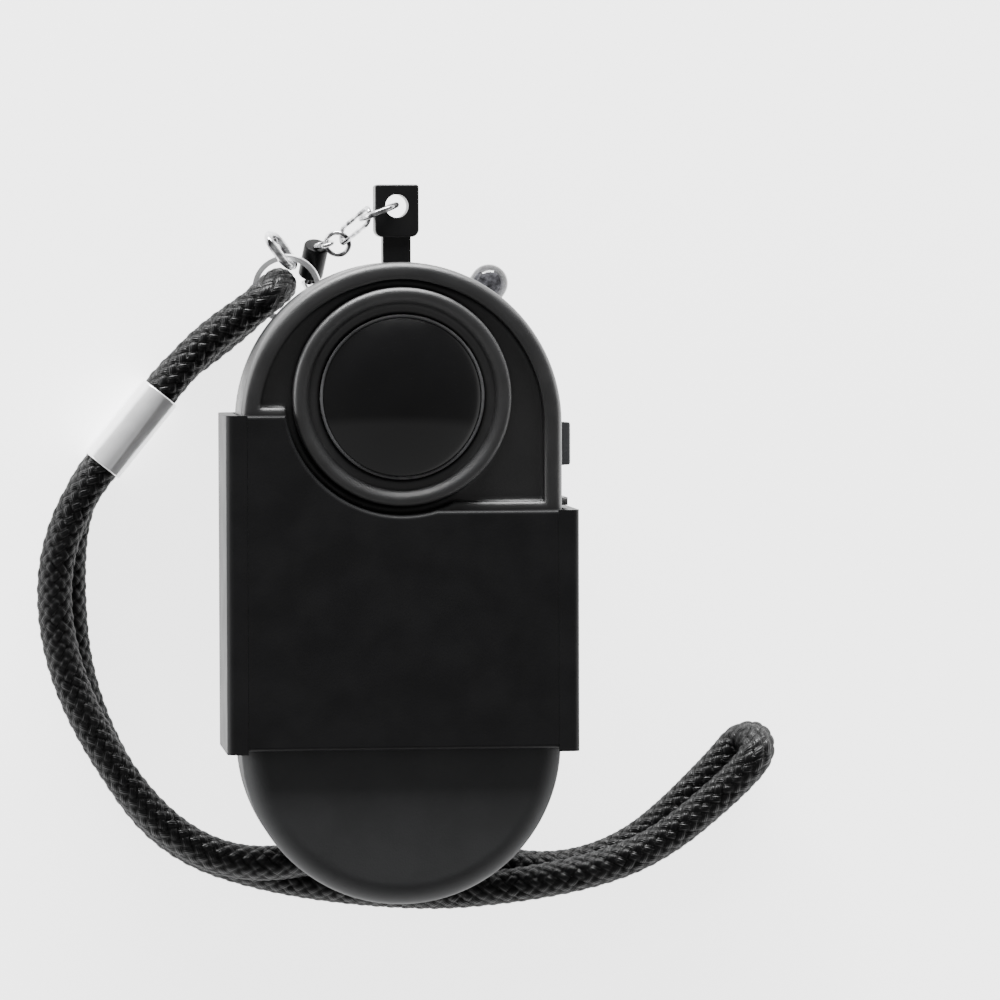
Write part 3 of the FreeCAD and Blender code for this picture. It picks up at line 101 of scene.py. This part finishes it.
# %% Routes of the two cords, in millimetres
CORD_DIAMETER = 6.1 * MM
RING_LOOP_ROUTE = [
    (-39.57, 30.92, 10.1), (-36.27, 35.0, 10.1), (-32.2, 39.3, 9.9), (-28.2, 42.5, 10.2),
    (-24.4, 45.1, 11.1), (-20.2, 48.3, 11.7), (-18.1, 50.1, 7.3), (-20.2, 48.3, 3.1),
    (-24.4, 44.2, 3.1), (-28.4, 40.9, 3.1), (-32.4, 37.9, 3.2), (-36.27, 35.0, 3.6),
    (-39.57, 30.92, 3.6)]
WRIST_LOOP_ROUTE = [
    (-48.61, 19.71, 10.1), (-51.97, 15.55, 10.1), (-55.3, 9.0, 9.7), (-57.2, 1.6, 9.4),
    (-57.3, -6.2, 9.4), (-55.9, -14.0, 9.4), (-53.2, -21.6, 9.5), (-49.2, -29.2, 9.6),
    (-44.2, -36.8, 9.6), (-38.4, -43.0, 9.6), (-31.8, -47.2, 9.5), (-24.6, -49.2, 9.3),
    (-17.3, -49.0, 8.9), (-10.0, -47.8, 6.5), (-2.3, -47.2, 3.7), (5.6, -47.8, 3.1),
    (13.4, -49.2, 3.1), (21.0, -50.9, 3.1), (28.6, -51.6, 3.1), (36.2, -50.2, 3.1),
    (43.3, -46.9, 3.1), (49.4, -42.0, 3.1), (54.8, -36.7, 3.1), (58.6, -32.8, 3.1),
    (61.4, -29.4, 3.1), (63.9, -28.8, 6.9), (63.4, -31.5, 10.6), (60.0, -35.4, 10.3),
    (54.9, -40.0, 10.1), (49.0, -44.8, 9.9), (42.4, -48.6, 9.9), (35.0, -51.1, 9.9),
    (26.6, -52.8, 9.7), (18.2, -54.0, 8.7), (10.0, -54.9, 6.2), (2.0, -54.9, 3.9),
    (-6.4, -54.2, 3.1), (-15.2, -52.9, 3.1), (-24.0, -50.9, 3.1), (-32.6, -47.9, 3.1),
    (-39.4, -43.2, 3.1), (-44.6, -36.8, 3.1), (-48.7, -29.6, 3.1), (-51.9, -21.8, 3.1),
    (-53.9, -13.8, 3.1), (-54.6, -5.8, 3.1), (-54.7, 1.9, 3.1), (-54.1, 9.2, 3.25),
    (-51.85, 15.7, 3.6), (-48.61, 19.71, 3.6)]


# %% Smooth lines through the routes
LINE_RESOLUTION = 24


def line_points(route):
    """Points along the smooth NURBS line of a route, in metres."""
    curve = bpy.data.curves.new("route", "CURVE")
    curve.dimensions = "3D"
    curve.resolution_u = LINE_RESOLUTION
    spline = curve.splines.new("NURBS")
    spline.points.add(len(route) - 1)
    for point, place in zip(spline.points, route):
        point.co = (*(Vector(place) * MM), 1)
    spline.order_u = 3
    spline.use_endpoint_u = True
    holder = bpy.data.objects.new("route", curve)
    bpy.context.collection.objects.link(holder)
    mesh = bpy.data.meshes.new_from_object(holder)
    points = np.array([vertex.co for vertex in mesh.vertices])
    bpy.data.objects.remove(holder)
    return points


def even_points(points, step):
    """The same line with its points a fixed step apart, and its length."""
    runs = np.linalg.norm(np.diff(points, axis=0), axis=1)
    along = np.concatenate([[0], np.cumsum(runs)])
    stops = np.linspace(0, along[-1], int(along[-1] / step) + 1)
    places = [np.interp(stops, along, points[:, axis]) for axis in range(3)]
    return np.stack(places, axis=1), along[-1]


# %% [markdown]
# The real cord is a round braid: two sets of yarns wind opposite ways and pass
# over each other, so the surface is rows of small rounded picks that point in
# turn left and right. A bump would look flat along the cord's outline, so each
# pick is real relief on a fine tube, from the two winding counts at each point.
# The tube's sides are turned on from point to point, so that it doesn't twist.

# %% Pattern of the braid
BRAID_STEP = 0.27 * MM
BRAID_SIDES = 72
PICKS_ROUND = 8
PICK_LENGTH = 2.5 * MM
BRAID_RELIEF = 0.42 * MM
PICK_END_HEIGHT = 0.35


def crown(share):
    """Rounded height across a pick: 0 at its edges and 1 in its middle."""
    return np.sqrt(np.clip(1 - (2 * share - 1) ** 2, 0, 1))


def braid_pattern(angle, along):
    """Height of the relief, and the place across the pick, at each angle and length."""
    winds = PICKS_ROUND * angle[None, :] / (2 * math.pi)
    runs = along[:, None] / PICK_LENGTH
    one, two = winds + runs, winds - runs
    over = (np.floor(one) + np.floor(two)) % 2 == 0
    across, lengthwise = np.where(over, one, two) % 1, np.where(over, two, one) % 1
    ends = PICK_END_HEIGHT + (1 - PICK_END_HEIGHT) * crown(lengthwise)
    return crown(across) * ends, across


def sideways(points):
    """Two directions square to the line at each point, carried on without twist."""
    tangent = np.gradient(points, axis=0)
    tangent /= np.linalg.norm(tangent, axis=1)[:, None]
    normals = np.zeros_like(points)
    side = np.cross(tangent[0], (0, 0, 1))
    normals[0] = side / np.linalg.norm(side)
    for i in range(1, len(points)):
        carried = normals[i - 1] - tangent[i] * normals[i - 1].dot(tangent[i])
        normals[i] = carried / np.linalg.norm(carried)
    return normals, np.cross(tangent, normals)


# %% Braided tubes
CORD_PATH_STEP = 1.5 * MM


def store(mesh, name, values):
    """Keep a value at each point of the mesh, for the material to read."""
    attribute = mesh.attributes.new(name, "FLOAT", "POINT")
    attribute.data.foreach_set("value", values.reshape(-1))


def braided_tube(name, route):
    """Closed tube with the relief of the braid, and the line that it follows."""
    points, length = even_points(line_points(route), BRAID_STEP)
    count = len(points)
    normals, across = sideways(points)
    angle = np.linspace(0, 2 * math.pi, BRAID_SIDES, endpoint=False)
    height, lay = braid_pattern(angle, np.linspace(0, length, count))
    radius = CORD_DIAMETER / 2 - BRAID_RELIEF * (1 - height)
    ring = (np.cos(angle)[None, :, None] * normals[:, None, :]
            + np.sin(angle)[None, :, None] * across[:, None, :])
    places = (points[:, None, :] + radius[:, :, None] * ring).reshape(-1, 3)
    here = np.arange(count * BRAID_SIDES).reshape(count, BRAID_SIDES)
    beside = np.roll(here, -1, axis=1)
    faces = np.stack([here[:-1], beside[:-1], beside[1:], here[1:]], axis=-1).reshape(-1, 4)
    ends = [here[0][::-1].tolist(), here[-1].tolist()]
    mesh = bpy.data.meshes.new(name)
    mesh.from_pydata(places.tolist(), [], faces.tolist() + ends)
    mesh.validate()
    mesh.shade_smooth()
    store(mesh, "relief", height)
    store(mesh, "lay", lay)
    piece = bpy.data.objects.new(name, mesh)
    bpy.context.collection.objects.link(piece)
    print(name, "is", round(length, 4), "m long, faces:", len(mesh.polygons))
    return piece, points, length


cords = {}
for cord_name, route in (("ring_loop", RING_LOOP_ROUTE), ("wrist_loop", WRIST_LOOP_ROUTE)):
    piece, points, length = braided_tube(f"{cord_name}_braid", route)
    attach(piece, body_of_node[cord_name])
    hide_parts(cord_name)
    cords[cord_name] = piece, even_points(points, CORD_PATH_STEP)[0], length

# %% [markdown]
# Every finish here is built from the same few nodes, so each step gets a small
# helper: a noise on Object coordinates, a range for a number, a ramp of
# colours, a step of arithmetic, and a bump. The bump also takes a soft edge,
# because no moulded edge is perfectly sharp.

# %% Helpers for the materials
NOISE_RANGE = (0.3, 0.7)
TONE_STOPS = (0.35, 0.65)
EDGE_SAMPLES = 8


def new_material(name):
    material = bpy.data.materials.new(name)
    material.use_nodes = True
    nodes = material.node_tree.nodes
    return material, nodes, material.node_tree.links, nodes["Principled BSDF"]


def set_inputs(node, settings):
    for socket, value in settings.items():
        node.inputs[socket].default_value = value


def noise(nodes, links, scale, detail=3.0):
    place = nodes.new("ShaderNodeTexCoord")
    texture = nodes.new("ShaderNodeTexNoise")
    set_inputs(texture, {"Scale": scale, "Detail": detail})
    links.new(place.outputs["Object"], texture.inputs["Vector"])
    return texture.outputs["Fac"]


def map_range(nodes, links, value, source, target):
    """Stretch a value from its range source to the range target."""
    ranger = nodes.new("ShaderNodeMapRange")
    set_inputs(ranger, {"From Min": source[0], "From Max": source[1],
                        "To Min": target[0], "To Max": target[1]})
    links.new(value, ranger.inputs["Value"])
    return ranger.outputs["Result"]


def ramp(nodes, links, value, stops):
    """Colour ramp through the given positions and colours."""
    colours = nodes.new("ShaderNodeValToRGB")
    elements = colours.color_ramp.elements
    for position, colour in stops[1:-1]:
        elements.new(position)
    for element, (position, colour) in zip(elements, stops):
        element.position = position
        element.color = (*colour, 1)
    links.new(value, colours.inputs["Fac"])
    return colours.outputs["Color"]


def two_tones(nodes, links, value, dark, light):
    return ramp(nodes, links, value, list(zip(TONE_STOPS, (dark, light))))


def calculate(nodes, links, operation, value, by=0.0):
    """One step of arithmetic on a value."""
    step = nodes.new("ShaderNodeMath")
    step.operation = operation
    step.inputs[1].default_value = by
    links.new(value, step.inputs[0])
    return step.outputs["Value"]


def add_bump(nodes, links, shader, value, depth, edge=0.0):
    """Relief of the given depth, and sharp edges softened over the radius edge."""
    bump = nodes.new("ShaderNodeBump")
    bump.inputs["Distance"].default_value = depth
    links.new(value, bump.inputs["Height"])
    if edge:
        soft = nodes.new("ShaderNodeBevel")
        soft.samples = EDGE_SAMPLES
        soft.inputs["Radius"].default_value = edge
        links.new(soft.outputs["Normal"], bump.inputs["Normal"])
    links.new(bump.outputs["Normal"], shader.inputs["Normal"])


# %% [markdown]
# The moulded pieces are satin black plastic with a fine spark-eroded texture.
# A fine noise drives the bump, and a larger one shifts the colour and the
# roughness, so that no surface reads as one flat colour. The window, the cells
# and the knob have a clear coat over that.

# %% Moulded plastic
PATCH_SCALE = 140.0
GRAIN_SCALE = 3200.0
GRAIN_DETAIL = 2.0
GRAIN_DEPTH = 0.02 * MM
MOULDED_EDGE = 0.25 * MM
COAT_ROUGHNESS = 0.05


def moulded(name, dark, light, rough, grain=GRAIN_DEPTH, grain_scale=GRAIN_SCALE, coat=0.0,
            edge=MOULDED_EDGE, specular=0.35):
    """Moulded plastic: two close tones, uneven roughness and a fine grain."""
    material, nodes, links, shader = new_material(name)
    patches = noise(nodes, links, PATCH_SCALE)
    tones = two_tones(nodes, links, patches, dark, light)
    links.new(tones, shader.inputs["Base Color"])
    links.new(map_range(nodes, links, patches, NOISE_RANGE, rough), shader.inputs["Roughness"])
    set_inputs(shader, {"Specular IOR Level": specular, "Coat Weight": coat,
                        "Coat Roughness": COAT_ROUGHNESS})
    add_bump(nodes, links, shader, noise(nodes, links, grain_scale, GRAIN_DETAIL), grain, edge)
    return material


materials = {
    "matte_black": moulded(
        "satin_black", (0.0040, 0.0040, 0.0043), (0.0058, 0.0058, 0.0062), (0.34, 0.44)),
    "charcoal": moulded(
        "satin_charcoal", (0.0285, 0.0289, 0.0297), (0.0320, 0.0324, 0.0334), (0.52, 0.62),
        specular=0.12),
    "gloss_black": moulded(
        "gloss_black", (0.0014, 0.0014, 0.0016), (0.0020, 0.0020, 0.0022), (0.10, 0.14),
        grain=0.0003 * MM, grain_scale=3000.0, coat=0.3),
    "seal_rubber": moulded(
        "seal_rubber", (0.005, 0.005, 0.005), (0.008, 0.008, 0.008), (0.6, 0.8)),
    "board_green": moulded(
        "solder_mask", (0.012, 0.10, 0.035), (0.02, 0.14, 0.05), (0.3, 0.4)),
    "chip_black": moulded(
        "moulded_epoxy", (0.012, 0.012, 0.012), (0.02, 0.02, 0.02), (0.4, 0.6)),
    "cell_wrap": moulded(
        "cell_wrap", (0.06, 0.06, 0.065), (0.09, 0.09, 0.095), (0.2, 0.3), coat=0.3),
}
print("plastics:", len(materials))

# %% [markdown]
# The rings, the ferrule and the caps of the barrel are plated and polished.
# A plating is never perfectly smooth, so faint waves bend its reflections.

# %% Plated metal
PLATING_PATCHES = 500.0
PLATING_WAVES = 900.0


def metal(name, dark, light, rough, waves, metallic=1.0):
    """Plated metal: two tones in random patches (painted reflection on the small links), and
    waves of the given depth.
    """
    material, nodes, links, shader = new_material(name)
    shader.inputs["Metallic"].default_value = metallic
    patches = noise(nodes, links, PLATING_PATCHES)
    tones = two_tones(nodes, links, patches, dark, light)
    links.new(tones, shader.inputs["Base Color"])
    links.new(map_range(nodes, links, patches, NOISE_RANGE, rough), shader.inputs["Roughness"])
    add_bump(nodes, links, shader, noise(nodes, links, PLATING_WAVES), waves)
    return material


materials["steel"] = metal(
    "plain_steel", (0.32, 0.32, 0.33), (0.46, 0.46, 0.47), (0.25, 0.4), 0.01 * MM)
materials["chrome_wire"] = metal(
    "polished_plating", (0.80, 0.80, 0.82), (0.90, 0.90, 0.92), (0.06, 0.12), 0.004 * MM)

# %% [markdown]
# The lamp is a clear moulded dome. It looks speckled, because its inside breaks
# up what shows through, so its tint changes in fine spots.

# %% Clear lamp
LAMP_SPECKS = 1100.0
LAMP_SMEARS = 300.0


def clear_moulding():
    material, nodes, links, shader = new_material("clear_moulding")
    specks = noise(nodes, links, LAMP_SPECKS)
    tones = two_tones(nodes, links, specks, (0.008, 0.008, 0.009), (0.10, 0.10, 0.11))
    links.new(tones, shader.inputs["Base Color"])
    set_inputs(shader, {"Transmission Weight": 0.9, "IOR": 1.49})
    smears = noise(nodes, links, LAMP_SMEARS)
    uneven = map_range(nodes, links, smears, NOISE_RANGE, (0.03, 0.12))
    links.new(uneven, shader.inputs["Roughness"])
    return material


materials["clear_lamp"] = clear_moulding()

# %% [markdown]
# The yarn is black and a little glossy. Its colour is painted darker in the gaps
# between the picks and lighter on their tops, a painted shade and light on the
# relief; fine threads run along each pick, and the gloss fades where the surface
# turns away. Both patterns follow the cord, from the values stored on its mesh.

# %% Braided yarn
THREAD_WAVES = 30.0
THREAD_DEPTH = 0.02 * MM
YARN_TURNED_AWAY = (0.25, 0.80)
YARN_GLOSS = (0.22, 0.02)


def stored(nodes, name):
    """A value kept on the mesh by store."""
    attribute = nodes.new("ShaderNodeAttribute")
    attribute.attribute_name = name
    return attribute.outputs["Fac"]


def braid_yarn():
    material, nodes, links, shader = new_material("black_braid")
    # Painted shade: darker colour in the gaps between the picks and lighter on their tops, by
    # the stored relief.
    tones = two_tones(nodes, links, stored(nodes, "relief"),
                      (0.0002, 0.0002, 0.0002), (0.0028, 0.0028, 0.0030))
    links.new(tones, shader.inputs["Base Color"])
    shader.inputs["Roughness"].default_value = 0.32
    facing = nodes.new("ShaderNodeLayerWeight").outputs["Facing"]
    gloss = map_range(nodes, links, facing, YARN_TURNED_AWAY, YARN_GLOSS)
    links.new(gloss, shader.inputs["Specular IOR Level"])
    across = calculate(nodes, links, "MULTIPLY", stored(nodes, "lay"), THREAD_WAVES)
    threads = calculate(nodes, links, "SINE", across)
    add_bump(nodes, links, shader, threads, THREAD_DEPTH)
    return material


materials["black_cord"] = braid_yarn()
for piece, path, length in cords.values():
    piece.data.materials.append(materials["black_cord"])
print("finishes by slot:", len(materials))

# %% [markdown]
# Some pieces differ from others of the same stuff. The shell's rims are wide
# and shiny, the cover and the sleeve are flat and duller, so they don't mirror
# the light round them, and the knob is greyer. The small links are painted dark
# in patches, a painted reflection of their surroundings, while the key ring and
# the ferrule are nearly white: a pale plating, and in part painted brightness
# for the bright surroundings that they mirror.

# %% Finishes of single pieces
own_finish = {
    "front_shell": moulded(
        "shell_black", (0.0066, 0.0066, 0.0070), (0.0098, 0.0098, 0.0103), (0.38, 0.46),
        edge=1.5 * MM, specular=0.85),
    "front_plate": moulded(
        "plate_black", (0.0084, 0.0084, 0.0088), (0.0106, 0.0106, 0.0111), (0.40, 0.46),
        edge=0.06 * MM, specular=0.10),
    "sleeve_body": moulded(
        "sleeve_black", (0.0088, 0.0088, 0.0092), (0.0110, 0.0110, 0.0115), (0.40, 0.46),
        edge=0.10 * MM, specular=0.10),
    "barrel": moulded(
        "barrel_lacquer", (0.0030, 0.0030, 0.0032), (0.0048, 0.0048, 0.0050), (0.30, 0.40),
        specular=0.08),
    "mode_switch_knob": moulded(
        "knob_grey", (0.045, 0.046, 0.048), (0.065, 0.066, 0.069), (0.25, 0.35), coat=0.3),
    # Painted reflection, in part: the key ring and the ferrule have a pale plating, but are
    # only partly metallic, so their near-white colour also shows as painted brightness where
    # the plating would mirror the bright surroundings.
    "split_ring": metal(
        "painted_bright_ring", (0.88, 0.88, 0.89), (0.96, 0.96, 0.97), (0.28, 0.38), 0.01 * MM,
        metallic=0.6),
    "ferrule": metal(
        "painted_bright_ferrule", (0.90, 0.90, 0.91), (0.97, 0.97, 0.98), (0.14, 0.22), 0.004 * MM,
        metallic=0.55),
}
# Painted reflection: the small links' plating is painted dark and light in large patches, for
# the surroundings that the chrome mirrors.
painted_reflection_plating = metal(
    "painted_reflection_plating", (0.03, 0.03, 0.032), (0.80, 0.80, 0.81), (0.06, 0.16), 0.02 * MM,
    metallic=0.85)
for node in ("pin_ring", "chain_link", "round_ring", "barrel_fittings", "eye_link"):
    own_finish[node] = painted_reflection_plating
print("pieces with a finish of their own:", len(own_finish))

# %% [markdown]
# Besides the cords, two pieces are made anew, the window and the barrel. A
# new piece takes the body of the node it stands for, and that node's own finish
# or else the finish of its slot, and the node is hidden. So does each smooth copy
# of a frame piece further down.

# %% Helpers for new pieces
SMOOTH_UNDER = math.radians(32)
MERGE_NEW = 0.001 * MM


def select_only(piece):
    bpy.ops.object.select_all(action="DESELECT")
    piece.select_set(True)
    bpy.context.view_layer.objects.active = piece


def merge_points(within, recalculate=False):
    """Merge the active piece's points that lie together, and turn its faces out if asked."""
    bpy.ops.object.mode_set(mode="EDIT")
    bpy.ops.mesh.select_all(action="SELECT")
    bpy.ops.mesh.remove_doubles(threshold=within)
    if recalculate:
        bpy.ops.mesh.normals_make_consistent(inside=False)
    bpy.ops.object.mode_set(mode="OBJECT")


def stand_for(piece, node):
    """Let a piece stand for a frame piece in its body, slot and finish.

    The clip's spring rides on no body, because it bends between two.
    """
    piece.data.materials.append(own_finish.get(node, materials[slot_of_node[node]]))
    if node != "clip_spring":
        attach(piece, body_of_node[node])
    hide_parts(node)


# %% [markdown]
# The window is a shallow glossy dome with a fine raised bead at its edge and a
# flange behind. Half of its outline, from the middle of the dome over the bead
# and the flange and back along the inner wall, is spun once round. The dome is
# a true arc, because its long reflection shows every flat.

# %% Outline of the window, radii and levels in millimetres
LENS_TOP, LENS_SEAT, LENS_UNDER = 37.5, 28.1, 27.5
FLANGE_OUT, LENS_WALL, INNER_SHARE = 15.4, 1.6, 0.9
BEAD_OUT, BEAD_RADIUS, BEAD_LEVEL = 13.52, 0.26, 33.35
DOME_STEPS, BEAD_STEPS = 40, 12

dome_edge = BEAD_OUT - BEAD_RADIUS
dome_rise = LENS_TOP - BEAD_LEVEL
dome_curve = (dome_edge ** 2 + dome_rise ** 2) / (2 * dome_rise)
dome_span = math.asin(dome_edge / dome_curve)
dome_turns = [dome_span * i / DOME_STEPS for i in range(DOME_STEPS + 1)]
outer = [(dome_curve * math.sin(turn), LENS_TOP - dome_curve * (1 - math.cos(turn)))
         for turn in dome_turns]
bead_turns = [math.pi * i / BEAD_STEPS for i in range(1, BEAD_STEPS + 1)]
bead = [(BEAD_OUT - BEAD_RADIUS * math.cos(turn), BEAD_LEVEL + BEAD_RADIUS * math.sin(turn))
        for turn in bead_turns]
inner = [(radius * INNER_SHARE, rise - LENS_WALL) for radius, rise in reversed(outer)]
flange = [(BEAD_OUT + BEAD_RADIUS, LENS_SEAT), (FLANGE_OUT, LENS_SEAT),
          (FLANGE_OUT, LENS_UNDER), (inner[0][0], LENS_UNDER)]
outline = outer + bead + flange + inner
print("points in the outline:", len(outline))

# %% Spin the window
LENS_CENTRE = Vector((0, 31.03, 0)) * MM
LENS_SIDES = 160

lens_mesh = bpy.data.meshes.new("lens_dome_polished")
lens_mesh.from_pydata([Vector((radius, 0, rise)) * MM for radius, rise in outline],
                      [(i, i + 1) for i in range(len(outline) - 1)], [])
lens = bpy.data.objects.new("lens_dome_polished", lens_mesh)
bpy.context.collection.objects.link(lens)
select_only(lens)
spin = lens.modifiers.new("spin", "SCREW")
spin.axis = "Z"
spin.steps = spin.render_steps = LENS_SIDES
spin.use_merge_vertices = True
spin.merge_threshold = MERGE_NEW
bpy.ops.object.modifier_apply(modifier="spin")
lens.location = LENS_CENTRE
bpy.ops.object.transform_apply(location=True, rotation=True, scale=True)
merge_points(MERGE_NEW, recalculate=True)
bpy.ops.object.shade_smooth_by_angle(angle=SMOOTH_UNDER)
stand_for(lens, "lens_dome")
print("faces of the window:", len(lens.data.polygons))

# %% [markdown]
# In the photograph a thin light line runs round the window, along the bead.
# It is a painted highlight: a second material of a lighter colour on the faces of the bead.

# %% Painted highlight on the edge of the window
# Painted highlight: a lighter colour on the bead's faces stands in for the light line that the
# bead reflects.
lens.data.materials.append(moulded(
    "painted_bead_highlight", (0.060, 0.060, 0.062), (0.110, 0.110, 0.113), (0.25, 0.40), edge=0))
for face in lens.data.polygons:
    out = (face.center - LENS_CENTRE).xy.length / MM
    if abs(out - BEAD_OUT) < BEAD_RADIUS and face.center.z > BEAD_LEVEL * MM:
        face.material_index = 1
print("faces of the bead:", sum(face.material_index for face in lens.data.polygons))

# %% [markdown]
# The barrel of the chain is a short black rod with rounded rims, held between
# its two plated ends. It is a cylinder laid along the line from end to end.

# %% Barrel
BARREL_TOP = Vector((-12.15, 56.4, 6.9)) * MM
BARREL_END = Vector((-13.0, 51.4, 3.6)) * MM
BARREL_OVERLAP = 0.06 * MM
BARREL_RADIUS = 2.12 * MM
BARREL_SIDES = 96
BARREL_RIM = 0.35 * MM
RIM_SEGMENTS = 5

barrel_axis = (BARREL_TOP - BARREL_END).normalized()
barrel_high = BARREL_TOP + barrel_axis * BARREL_OVERLAP
barrel_low = BARREL_END - barrel_axis * BARREL_OVERLAP
bpy.ops.object.select_all(action="DESELECT")
bpy.ops.mesh.primitive_cylinder_add(
    vertices=BARREL_SIDES, radius=BARREL_RADIUS, depth=(barrel_high - barrel_low).length,
    location=(barrel_low + barrel_high) / 2,
    rotation=(barrel_high - barrel_low).to_track_quat("Z", "Y").to_euler())
barrel = bpy.context.active_object
barrel.name = "barrel_black"
bpy.ops.object.transform_apply(location=True, rotation=True, scale=True)
rims = barrel.modifiers.new("rims", "BEVEL")
rims.width = BARREL_RIM
rims.segments = RIM_SEGMENTS
rims.limit_method = "ANGLE"
bpy.ops.object.modifier_apply(modifier="rims")
bpy.ops.object.shade_smooth_by_angle(angle=SMOOTH_UNDER)
stand_for(barrel, "barrel")
print("faces of the barrel:", len(barrel.data.polygons))

# %% [markdown]
# The frame's meshes are loose triangles. Pieces that show get a merged copy
# with smooth shading between gentle faces, and hidden ones only a material.
# Large faces lead in the shading, so that flats stay flat up to their rounds.

# %% Dress the frame's own pieces
MERGE_COPIES = 0.002 * MM
LARGE_FACES_LEAD = 80
MADE_ANEW = ("ring_loop", "wrist_loop", "barrel", "lens_dome")
HIDDEN = ("lens_gasket", "lens_retainer", "pir_sensor", "circuit_board", "siren_sounder",
          "controller_chip", "booster_coil", "capacitor", "mode_switch_body",
          "pin_contact_left", "pin_contact_right", "upper_contacts", "cap_contact",
          "battery_1", "battery_2", "battery_3")


def dress(node):
    """Smooth copy of a frame piece, in its own finish."""
    piece = cad_nodes[node].copy()
    piece.data = cad_nodes[node].data.copy()
    piece.name = f"{node}_skin"
    for key in list(piece.keys()):
        del piece[key]
    bpy.context.collection.objects.link(piece)
    piece.parent = None
    piece.matrix_world = Matrix.Identity(4)
    select_only(piece)
    merge_points(MERGE_COPIES)
    bpy.ops.mesh.customdata_custom_splitnormals_clear()
    bpy.ops.object.shade_smooth_by_angle(angle=SMOOTH_UNDER)
    weighted = piece.modifiers.new("weighted", "WEIGHTED_NORMAL")
    weighted.keep_sharp = True
    weighted.weight = LARGE_FACES_LEAD
    bpy.ops.object.modifier_apply(modifier="weighted")
    piece.data.materials.clear()
    stand_for(piece, node)
    return piece


dressed = {}
for node in cad_nodes:
    if node in HIDDEN:
        cad_nodes[node].data.materials.clear()
        cad_nodes[node].data.materials.append(materials[slot_of_node[node]])
    elif node not in MADE_ANEW:
        dressed[node] = dress(node)
print("dressed:", len(dressed))

# %% [markdown]
# In the photograph the low slider stands out from the case a little further
# than in the frame, so the outer face of its copy is moved along X.

# %% Knob of the mode switch
KNOB_STANDS_OUT = 0.7 * MM
KNOB_FACE_BAND = 0.4 * MM

knob_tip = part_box("mode_switch_knob")[1][0]
for vertex in dressed["mode_switch_knob"].data.vertices:
    if vertex.co.x > knob_tip - KNOB_FACE_BAND:
        vertex.co.x += KNOB_STANDS_OUT
print("knob stands out further by", KNOB_STANDS_OUT, "m")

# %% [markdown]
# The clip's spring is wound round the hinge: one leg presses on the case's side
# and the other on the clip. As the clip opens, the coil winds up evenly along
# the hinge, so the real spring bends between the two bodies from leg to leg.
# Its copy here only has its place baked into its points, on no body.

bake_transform(dressed["clip_spring"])

# %% [markdown]
# Both cords are soft and lie loose. The photograph shows them from end to end,
# so each is as long as its route. The ferrule holds the ends of both.

# %% Points along the cords
for piece, path, length in cords.values():
    print(piece.name, "follows", len(path), "points")

# %% [markdown]
# The background of the photograph is plain white. The floor glows a little,
# so that the shadow on it stays as faint as it is there.

# %% Floor
FLOOR_SIZE = 3.0

bpy.ops.mesh.primitive_plane_add(size=FLOOR_SIZE, location=(0, 0, 0))
floor = bpy.context.active_object
floor.name = "floor"
floor_paint, _, _, floor_shader = new_material("pale_floor")
set_inputs(floor_shader, {"Base Color": (0.86, 0.86, 0.86, 1), "Roughness": 0.9,
                          "Emission Color": (1, 1, 1, 1), "Emission Strength": 3.0})
floor.data.materials.append(floor_paint)

# %% [markdown]
# The light is soft and comes from all round: the flat cover mirrors a dark
# ceiling, and every rounded edge catches a bright horizon. The sky's light
# changes with height, and is a little stronger towards the battery cap. Two
# weak boxes of light near the horizon give the rims and the ferrule their
# long reflections. Higher boxes would show as patches in the window.

# %% Sky
SKY_BY_HEIGHT = [(0.0, 3.4), (0.20, 2.7), (0.33, 0.27), (1.0, 0.22)]
SKY_TOWARDS_CAP = [(0.28, 0.0), (0.40, 0.26)]
MIX_FIRST, MIX_SECOND, MIX_RESULT = 6, 7, 2


def grey_stops(shades):
    return [(position, (shade, shade, shade)) for position, shade in shades]


world = bpy.data.worlds.new("studio")
bpy.context.scene.world = world
world.use_nodes = True
nodes, links = world.node_tree.nodes, world.node_tree.links
place = nodes.new("ShaderNodeTexCoord")
split = nodes.new("ShaderNodeSeparateXYZ")
links.new(place.outputs["Generated"], split.inputs["Vector"])
by_height = ramp(nodes, links, split.outputs["Z"], grey_stops(SKY_BY_HEIGHT))
to_cap = calculate(nodes, links, "MULTIPLY", split.outputs["Y"], -1.0)
total = nodes.new("ShaderNodeMix")
total.data_type, total.blend_type = "RGBA", "ADD"
total.inputs["Factor"].default_value = 1.0
links.new(by_height, total.inputs[MIX_FIRST])
links.new(ramp(nodes, links, to_cap, grey_stops(SKY_TOWARDS_CAP)), total.inputs[MIX_SECOND])
links.new(total.outputs[MIX_RESULT], nodes["Background"].inputs["Color"])
nodes["Background"].inputs["Strength"].default_value = 1.0


# %% Boxes of light
def soft_light(name, place, width, height, power):
    """Box of light that faces the middle of the scene."""
    light = bpy.data.objects.new(name, bpy.data.lights.new(name, "AREA"))
    bpy.context.collection.objects.link(light)
    light.data.shape = "RECTANGLE"
    light.data.size, light.data.size_y = width, height
    light.data.energy = power
    light.location = place
    light.rotation_euler = (-Vector(place)).to_track_quat("-Z", "Y").to_euler()


soft_light("top_box", (-0.1, 1.25, 0.27), width=1.3, height=0.3, power=66.0)
soft_light("left_box", (-1.3, 0.2, 0.18), width=0.5, height=0.3, power=6.0)
